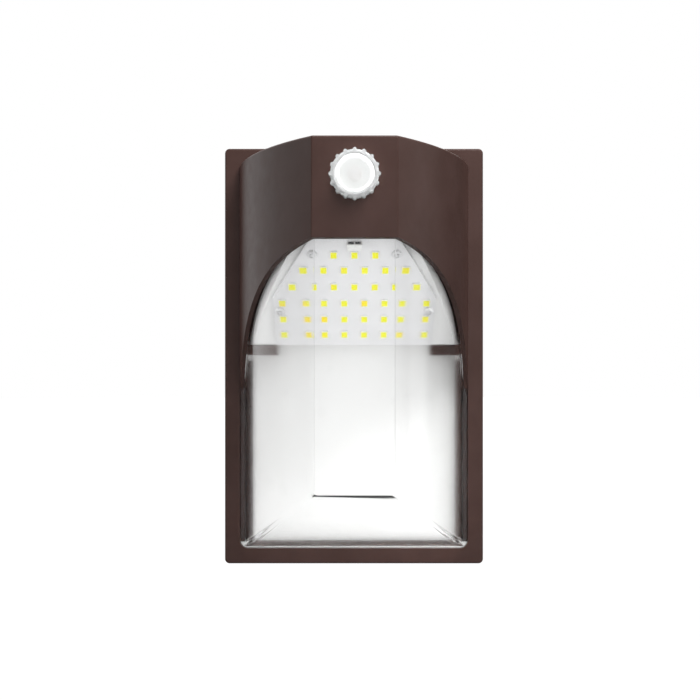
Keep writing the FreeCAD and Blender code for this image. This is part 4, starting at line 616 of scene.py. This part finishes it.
def make_lens():
    bm = merged_copy("lens")
    rear = max(v.co.y for v in bm.verts)
    front = min(v.co.y for v in bm.verts)
    face = [v.co for v in bm.verts if v.co.y < front + 0.01 * MM]
    foot = min(co.z for co in face)
    edge_x = max(co.x for co in face)
    bmesh.ops.recalc_face_normals(bm, faces=bm.faces)
    inside = [v for v in bm.verts if v.normal.y > 0.1 and v.co.y > front + 0.9 * LENS_WALL]
    shift = edge_x - max(abs(v.co.x) for v in inside if v.co.y < front + 1.1 * LENS_WALL)
    for v in inside:
        away = v.co.y - front - LENS_WALL
        v.co.x += math.copysign(shift * max(0.0, 1 - away / CREASE_FADE), v.co.x)
        if away < 0.1 * LENS_WALL and abs(v.co.z - foot) < 2 * LENS_WALL:
            v.co.z = foot - LOWER_CREASE_DROP
    for v in bm.verts:
        if v.co.y > rear - 0.01 * MM:
            v.co.y -= RIM_GAP
    print("inner creases moved", round(shift / MM, 2), "mm")
    weight = bm.edges.layers.float.new("bevel_weight_edge")
    counts = [0, 0]
    for edge in bm.edges:
        if len(edge.link_faces) != 2 or edge.calc_face_angle(0) < math.radians(40):
            continue
        ends = [v.co for v in edge.verts]
        run = ends[1] - ends[0]
        middle = (ends[0] + ends[1]) / 2
        if abs(run.y) > 0.2 * MM and abs(run.z) > 0.05 * MM and middle.z < -45 * MM:
            edge[weight] = 1.0
            counts[0] += 1
        elif middle.y > -17 * MM:
            edge[weight] = 0.12
            counts[1] += 1
    print("lens creases rounded:", counts)
    lens = finish_piece(bm, "lens_moulding", [clear_lens], "front_housing", ["lens"], 25)
    bevel = lens.modifiers.new("rounding", "BEVEL")
    bevel.limit_method = "WEIGHT"
    bevel.width = 1.4 * MM
    bevel.segments = 4
    return lens


make_lens()

# %% [markdown]
# Gaskets are soft strips. Copies of the CAD rings with rounded edges look like strips that are squeezed
# between the castings. The wall gasket is foam, the one round the body is silicone, and the one under the lens
# rim is black rubber.

# %% Gaskets
def soft_ring(name, node, material, body, rounding):
    ring = finish_piece(merged_copy(node), name, [material], body, [node], 25)
    return rounded(ring, rounding, 3)


soft_ring("wall_foam", "wall_gasket", foam, "back_plate", 0.5 * MM)
soft_ring("body_seal", "body_gasket", grey_silicone, "back_plate", 0.35 * MM)
soft_ring("lens_seal", "lens_gasket", black_rubber, "front_housing", 0.15 * MM)

# %% [markdown]
# The LED board slopes at 45 degrees. The LEDs stand on it in six rows. They are built in the board's own
# frame, x to the right, y up the slope and z towards the lens, and one matrix takes them to their place.

# %% Slope frame
SLOPE = math.radians(45)
BOARD_FOOT = Vector((0, -36.2 * MM, 4.7 * MM))


def on_board(x, up, above=0.0):
    """The matrix of a place on the board, given in millimetres."""
    side = Vector((1, 0, 0))
    climb = Vector((0, -math.cos(SLOPE), math.sin(SLOPE)))
    outward = Vector((0, -math.sin(SLOPE), -math.cos(SLOPE)))
    spot = BOARD_FOOT + side * x * MM + climb * up * MM + outward * above * MM
    turn = Matrix((side, climb, outward)).transposed().to_4x4()
    return Matrix.Translation(spot) @ turn


ROWS = (8, 8, 8, 7, 6, 3)
ROW_HEIGHTS = (6.5, 15.3, 24.1, 32.9, 41.7, 49.5)
CHIP_PITCH = 8.1
CHIP_PLACES = [((k - (count - 1) / 2) * CHIP_PITCH, up)
               for count, up in zip(ROWS, ROW_HEIGHTS) for k in range(count)]
print(len(CHIP_PLACES), "LEDs")

# %% [markdown]
# One LED is a rounded block. Its top face is inset and pushed down, and the pool gets the phosphor. The shape
# is repeated forty times, so it has few faces.

# %% LEDs
def make_leds():
    bm = bmesh.new()
    width, height, thick = 2.8 * MM, 3.5 * MM, 0.7 * MM
    for x, up in CHIP_PLACES:
        spot = on_board(x, up)
        new = block(bm, (-width / 2, -height / 2, 0), (width / 2, height / 2, thick), spot, 0.12 * MM, 1)
        outward = spot.to_3x3() @ Vector((0, 0, 1))
        top = max(new, key=lambda f: (f.calc_center_median().dot(outward), f.calc_area()))
        bmesh.ops.inset_region(bm, faces=[top], thickness=0.05 * MM, use_even_offset=True)
        bmesh.ops.inset_region(bm, faces=[top], thickness=0.05 * MM, depth=-0.05 * MM, use_even_offset=True)
        top.material_index = 1
    return finish_piece(bm, "leds", [led_white, led_yellow], "front_housing", ["led_chips"])


make_leds()

# %% [markdown]
# The wires reach the board through a small white connector at its top edge. Seen from the front, the only
# dark marks on it are its two wire openings: faces of its upper end, inset and pushed in.

# %% Board connector
def make_connector():
    bm = bmesh.new()
    spot = on_board(0, 54.6)
    climb = spot.to_3x3() @ Vector((0, 1, 0))
    outward = spot.to_3x3() @ Vector((0, 0, 1))
    half, reach, high = 2.9 * MM, 1.65 * MM, 2.2 * MM
    case = block(bm, (-half, -reach, 0), (half, reach, high), spot, 0.2 * MM)
    ends = [f for f in case if f.normal.dot(climb) > 0.99]
    edges = list({e for f in ends for e in f.edges if abs(e.calc_length() - 2 * half) < 0.5 * MM})
    bmesh.ops.subdivide_edges(bm, edges=edges, cuts=1)
    ends = [f for f in bm.faces if f.normal.dot(climb) > 0.99 and f.calc_area() > 1e-6]
    bmesh.ops.inset_individual(bm, faces=ends, thickness=0.4 * MM)
    for face in ends:
        face.material_index = 1
    sunk = bmesh.ops.extrude_discrete_faces(bm, faces=ends)["faces"]
    for face in sunk:
        bmesh.ops.translate(bm, verts=face.verts, vec=-climb * 0.9 * MM)
    turned(bm, [(0, -1.6 * MM), (1.5 * MM, -1.6 * MM), (1.5 * MM, 0.2 * MM), (0, 0.2 * MM)], spot, 24)
    return finish_piece(bm, "wire_connector", [white_nylon, dark_plastic], "front_housing",
                        ["board_connector"])


make_connector()

# %% [markdown]
# All the screws have a round head with a cross recess. The shank and the head are turned from one section
# that stops short of the middle. The recess starts as a grid of nine squares without its corners, is sunk
# into the head, and a bridge closes the ring between the two.

# %% Screws
def cross_screw(bm, place, facing, head_radius, head_height, shank_radius, shank_length, pitch):
    """A screw whose head's underside is at the place given and whose head faces the direction given."""
    before = set(bm.verts)
    section = [(0, -shank_length), (shank_radius * 0.7, -shank_length)]
    turns = int((shank_length - pitch) / pitch)
    for k in range(turns):
        foot = -shank_length + pitch * (k + 0.5)
        section += [(shank_radius * 0.84, foot), (shank_radius, foot + pitch / 2)]
    mouth = head_radius * 0.56
    section += [(shank_radius * 0.84, 0), (head_radius, 0), (head_radius, head_height * 0.42),
                (head_radius * 0.93, head_height * 0.74), (head_radius * 0.78, head_height * 0.93),
                (mouth, head_height)]
    turned(bm, section, Matrix.Identity(4), 24)
    rim = [e for e in bm.edges if e.is_boundary and not before.intersection(e.verts)]
    faces_before = set(bm.faces)
    bmesh.ops.create_grid(bm, x_segments=3, y_segments=3, size=head_radius * 0.46,
                          matrix=Matrix.Translation((0, 0, head_height)))
    cells = [f for f in bm.faces if f not in faces_before]
    cells.sort(key=lambda f: f.calc_center_median().xy.length)
    bmesh.ops.delete(bm, geom=cells[5:], context="FACES")
    sunk = bmesh.ops.extrude_face_region(bm, geom=cells[:5])["geom"]
    bottom = [g for g in sunk if isinstance(g, bmesh.types.BMVert)]
    bmesh.ops.scale(bm, verts=bottom, vec=(0.72, 0.72, 1))
    bmesh.ops.translate(bm, verts=bottom, vec=(0, 0, -head_height * 0.62))
    cross = [e for e in bm.edges if e.is_boundary and not before.intersection(e.verts) and e not in rim]
    bmesh.ops.bridge_loops(bm, edges=rim + cross)
    made = [v for v in bm.verts if v not in before]
    bmesh.ops.transform(bm, matrix=along(facing, place), verts=made)


COVER_SCREW = (3.5 * MM, 2.3 * MM, 2.0 * MM, 9.0 * MM, 0.7 * MM)
SMALL_SCREW = (1.9 * MM, 1.4 * MM, 1.25 * MM, 6.0 * MM, 0.5 * MM)
DOWN, TO_WALL, FROM_WALL = (0, 0, -1), (0, 1, 0), (0, -1, 0)


def make_screws(name, spots, sizes, material, body, node):
    bm = bmesh.new()
    for place, facing in spots:
        cross_screw(bm, [v * MM for v in place], facing, *sizes)
    return finish_piece(bm, name, [material], body, [node], 40)


cover_spots = [((side * 30.0, -7.2, -87.7), DOWN) for side in (-1, 1)]
make_screws("closing_screws", cover_spots, COVER_SCREW, steel, "back_plate", "cover_screws")
ground_size = (3.5 * MM, 2.3 * MM, 2.0 * MM, 2.75 * MM, 0.6 * MM)
make_screws("earth_screw", [((-25.35, -3.5, -26.325), FROM_WALL)], ground_size, green_screw, "back_plate",
            "ground_screw")
sheet_spots = [((side * x, -10.3, z), TO_WALL) for side in (-1, 1) for x, z in ((44.0, -86.8), (39.5, 2.6))]
make_screws("sheet_screws", sheet_spots, SMALL_SCREW[:3] + (4.8 * MM, 0.5 * MM), steel, "front_housing",
            "reflector_screws")
driver_spots = [((side * 36.0, -14.0, 59.0), TO_WALL) for side in (-1, 1)]
make_screws("case_screws", driver_spots, SMALL_SCREW, steel, "front_housing", "driver_screws")

# %% [markdown]
# The four board screws stand square to the slope, so their places come from the board's own frame. Their
# heads are painted in the board's white, so that they don't show as dark spots among the LEDs. The three
# terminal screws sit deep in the wells of the terminal block.

# %% Board and terminal screws
board_out = on_board(0, 0).to_3x3() @ Vector((0, 0, 1))
board_spots = [(on_board(side * x, up).translation / MM, board_out)
               for side in (-1, 1) for x, up in ((29.4, 19.7), (16.48, 50.0))]
make_screws("board_screws", board_spots, SMALL_SCREW[:3] + (5.7 * MM, 0.5 * MM), white_board, "front_housing",
            "led_board_screws")
terminal_spots = [((x, -18.2, 38.48), TO_WALL) for x in (-7.0, 0.0, 7.0)]
make_screws("wire_clamps", terminal_spots, (2.1 * MM, 1.2 * MM, 1.3 * MM, 1.8 * MM, 0.5 * MM), steel,
            "front_housing", "terminal_screws")

# %% [markdown]
# The hinge pins are plain rods with a turned groove and a domed head at each outer end.

# %% Hinge pins
def make_pins():
    bm = bmesh.new()
    radius, half = 1.25 * MM, 10.4 * MM
    section = [(0, -half), (radius * 0.7, -half), (radius, -half + 0.4 * MM), (radius, half - 1.4 * MM),
               (radius * 0.86, half - 1.2 * MM), (radius * 0.86, half - 0.9 * MM), (radius, half - 0.7 * MM),
               (radius * 0.75, half - 0.2 * MM), (0, half)]
    for side in (-1, 1):
        turned(bm, section, along((side, 0, 0), (side * 30 * MM, -6 * MM, 86.5 * MM)), 32)
    return finish_piece(bm, "pivot_pins", [steel], "back_plate", ["hinge_pins"])


make_pins()

# %% [markdown]
# The wires enter through a rubber grommet: a thick ring with two rounded lips that grip the plate.

# %% Wire grommet
def make_grommet():
    bm = bmesh.new()
    bore, hole, lip = 5.0 * MM, 10.98 * MM, 13.0 * MM
    section = [(bore + 0.4 * MM, -0.48 * MM), (lip - 0.5 * MM, -0.48 * MM), (lip, -0.9 * MM),
               (lip - 0.1 * MM, -1.45 * MM), (hole, -1.48 * MM), (hole, -3.52 * MM),
               (lip - 0.1 * MM, -3.55 * MM), (lip, -4.1 * MM), (lip - 0.5 * MM, -4.52 * MM),
               (bore + 0.4 * MM, -4.52 * MM), (bore, -4.1 * MM), (bore, -0.9 * MM),
               (bore + 0.4 * MM, -0.48 * MM)]
    turned(bm, section, along((0, 1, 0), (0, 0, 0)), 64)
    return finish_piece(bm, "cable_grommet", [black_rubber], "back_plate", ["wire_grommet"], 50)


make_grommet()

# %% [markdown]
# The photocell screws into the hood. Its white nylon barrel has a thread, a flange inside the hood, and a
# flat face that carries the light cell. Threads this small are rings rather than a true helix: nobody can
# tell them apart, and a turned section stays closed and clean.

# %% Photocell holder
CELL = Vector((0, 0, 68 * MM))
CELL_OUT = (0, -1, 0)


def make_holder():
    bm = bmesh.new()
    section = [(0, 91.6), (3.0, 91.6), (3.1, 91.4), (3.3, 88.4), (5.3, 88.4), (5.6, 89.0), (5.6, 92.9),
               (5.9, 93.2), (6.6, 93.2)]
    y = 92.8
    while y > 89.2:
        section += [(7.0, y), (6.6, y - 0.75)]
        y -= 1.5
    section += [(7.0, 87.3), (10.2, 87.18), (10.5, 86.9), (10.5, 85.5), (10.2, 85.18), (7.0, 85.18)]
    y = 84.6
    while y > 68.5:
        section += [(6.6, y), (7.0, y - 0.75)]
        y -= 1.5
    section += [(6.7, 67.2), (5.6, 67.2), (5.6, 87.0), (0, 87.0)]
    section = [(r * MM, h * MM) for r, h in section]
    turned(bm, section, along(CELL_OUT, CELL), 72)
    return finish_piece(bm, "cell_barrel", [white_nylon], "front_housing", ["photocell_holder"])


make_holder()

# %% [markdown]
# The light cell is a small disc of clear-coated resin. A zigzag track of the light-sensitive layer runs
# across its face between two metal combs, so the bars are joined at alternate ends.

# %% Light cell
def make_cell():
    bm = bmesh.new()
    face = 92.8
    section = [(0, 91.6), (2.5, 91.6), (2.6, 91.7), (2.6, 92.5), (2.45, 92.72), (0, 92.74)]
    turned(bm, [(r * MM, h * MM) for r, h in section], along(CELL_OUT, CELL), 40)
    spot = along(CELL_OUT, CELL)
    pitch, reach = 0.62, 1.6
    for k in range(-3, 4):
        span = math.sqrt(max(2.2 ** 2 - (k * pitch) ** 2, 0.2)) if abs(k) > 2 else reach
        for part in block(bm, (-span * MM, (k * pitch - 0.12) * MM, 92.7 * MM),
                          (span * MM, (k * pitch + 0.12) * MM, face * MM), spot):
            part.material_index = 1
        if k < 3:
            end = (reach if k % 2 else -reach)
            low, high = sorted((end, end - math.copysign(0.24, end)))
            for part in block(bm, (low * MM, (k * pitch) * MM, 92.7 * MM),
                              (high * MM, ((k + 1) * pitch) * MM, face * MM), spot):
                part.material_index = 1
    return finish_piece(bm, "light_cell", [cell_resin, bare_aluminium], "front_housing",
                        ["photocell_sensor"])


make_cell()

# %% [markdown]
# A black rubber ring seals the cap against the hood.

# %% Cap seal
def make_seal():
    bm = bmesh.new()
    section = [(7.55, 89.05), (8.95, 89.05), (9.0, 89.3), (9.0, 89.75), (8.9, 89.98), (7.6, 89.98), (7.5, 89.75),
               (7.5, 89.3), (7.55, 89.05)]
    turned(bm, [(r * MM, h * MM) for r, h in section], along(CELL_OUT, CELL), 72)
    return finish_piece(bm, "cap_ring", [black_rubber], "cap_seal", ["cap_seal"])


make_seal()

# %% [markdown]
# The clear cap unscrews by hand, so its rim has sixteen round bumps. It is turned as a cup first, with a
# groove near the edge of its face and thread rings inside, and then the outer wall is pushed out where the
# bumps are. Pushing vertices after the spin keeps the inside round.

# %% Photocell cap
def make_cap():
    bm = bmesh.new()
    front, rear = 95.42, 90.02
    section = [(0, front), (1.8, front - 0.04), (3.6, front - 0.17), (5.2, front - 0.4), (6.5, front - 0.7),
               (7.0, front - 0.9), (7.2, front - 1.15), (7.5, front - 1.2), (7.8, front - 0.85),
               (8.2, front - 0.85), (8.7, front - 1.1), (9.05, front - 1.6), (9.05, rear + 0.35),
               (8.85, rear), (7.5, rear), (7.1, rear + 0.35)]
    y = rear + 0.6
    while y < 93.4:
        section += [(7.1, y), (7.38, y + 0.35), (7.1, y + 0.7)]
        y += 1.5
    section += [(7.1, 93.85), (6.9, front - 1.4), (0, front - 1.4)]
    made = turned(bm, [(r * MM, h * MM) for r, h in section], Matrix.Identity(4), 256)
    for v in made:
        radius = math.hypot(v.co.x, v.co.y)
        if radius > 8.6 * MM and v.co.z < (front - 1.05) * MM:
            bump = max(0.0, math.cos(16 * math.atan2(v.co.y, v.co.x))) ** 0.7
            grow = 1 + (9.78 / 9.05 - 1) * bump
            v.co.x *= grow
            v.co.y *= grow
    bmesh.ops.transform(bm, matrix=along(CELL_OUT, CELL), verts=bm.verts)
    return finish_piece(bm, "clear_screw_cap", [clear_cap], "photocell_cap", ["photocell_cap"], 38)


make_cap()

# %% [markdown]
# The driver's parts are closed in by its case and lid. They still get their finishes, and the cans and the
# ring are turned with the folds and chamfers that real ones have.

# %% Driver parts
def make_cans():
    bm = bmesh.new()
    for x, z, radius, height in ((-20.0, 52.0, 5.0, 17.0), (-20.0, 67.0, 4.0, 13.0), (21.0, 67.0, 4.0, 13.0)):
        section = [(0, 0), (radius - 0.3, 0), (radius, 0.4), (radius, 1.4), (radius - 0.35, 1.8), (radius, 2.2),
                   (radius, height - 0.7), (radius - 0.6, height - 0.05), (radius * 0.6, height - 0.2),
                   (0, height - 0.2)]
        turned(bm, [(r * MM, h * MM) for r, h in section], along((0, -1, 0), (x * MM, -18.6 * MM, z * MM)), 40)
    return finish_piece(bm, "capacitor_cans", [capacitor_sleeve], "front_housing",
                        ["driver_capacitors"])


def make_choke():
    bm = bmesh.new()
    section = [(2.5, 0.8), (3.3, 0), (5.2, 0), (6.0, 0.8), (6.0, 8.2), (5.2, 9.0), (3.3, 9.0), (2.5, 8.2),
               (2.5, 0.8)]
    turned(bm, [(r * MM, h * MM) for r, h in section], along((0, -1, 0), (19 * MM, -18.6 * MM, 53 * MM)), 48)
    return finish_piece(bm, "ring_choke", [ferrite], "front_housing", ["driver_inductor"])


make_cans()
make_choke()

# %% [markdown]
# Thin insulated wires join the driver to the board and to the photocell. A wire is a smooth curve through a
# few route points with a round bevel, not a chain of straight runs. The red ones lie on the right.

# %% Wires inside
LEAD_RADIUS = 0.6 * MM


def wire(name, route, material, replaced):
    data = bpy.data.curves.new(name, "CURVE")
    data.dimensions = "3D"
    data.bevel_depth = LEAD_RADIUS
    data.bevel_resolution = 4
    data.resolution_u = 16
    data.use_fill_caps = True
    spline = data.splines.new("NURBS")
    spline.points.add(len(route) - 1)
    for point, place in zip(spline.points, route):
        point.co = (*[v * MM for v in place], 1)
    spline.order_u = 3
    spline.use_endpoint_u = True
    data.materials.append(material)
    piece = bpy.data.objects.new(name, data)
    bpy.context.scene.collection.objects.link(piece)
    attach(piece, "front_housing")
    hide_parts(replaced)
    print(name, len(route), "route points")


for side, material, slot_name in ((-1, wire_black, "wire_black"), (1, wire_red, "wire_red")):
    exit_y, exit_z = (on_board(0, 54.6, -1.6).translation / MM).yz
    x = side * 0.9
    wire(f"board_wire_{slot_name[5:]}",
         [(x, exit_y, exit_z), (x, exit_y + 6.4, exit_z + 6.4), (x, -52.7, 52.5), (x, -39.0, 51.0)],
         material, "led_leads")
    x = side * 2.5
    wire(f"cell_wire_{slot_name[5:]}", [(x, -90.1, 68.0), (x, -71.2, 68.4), (x, -49.6, 66.0), (x, -39.0, 65.0)],
         material, "photocell_leads")
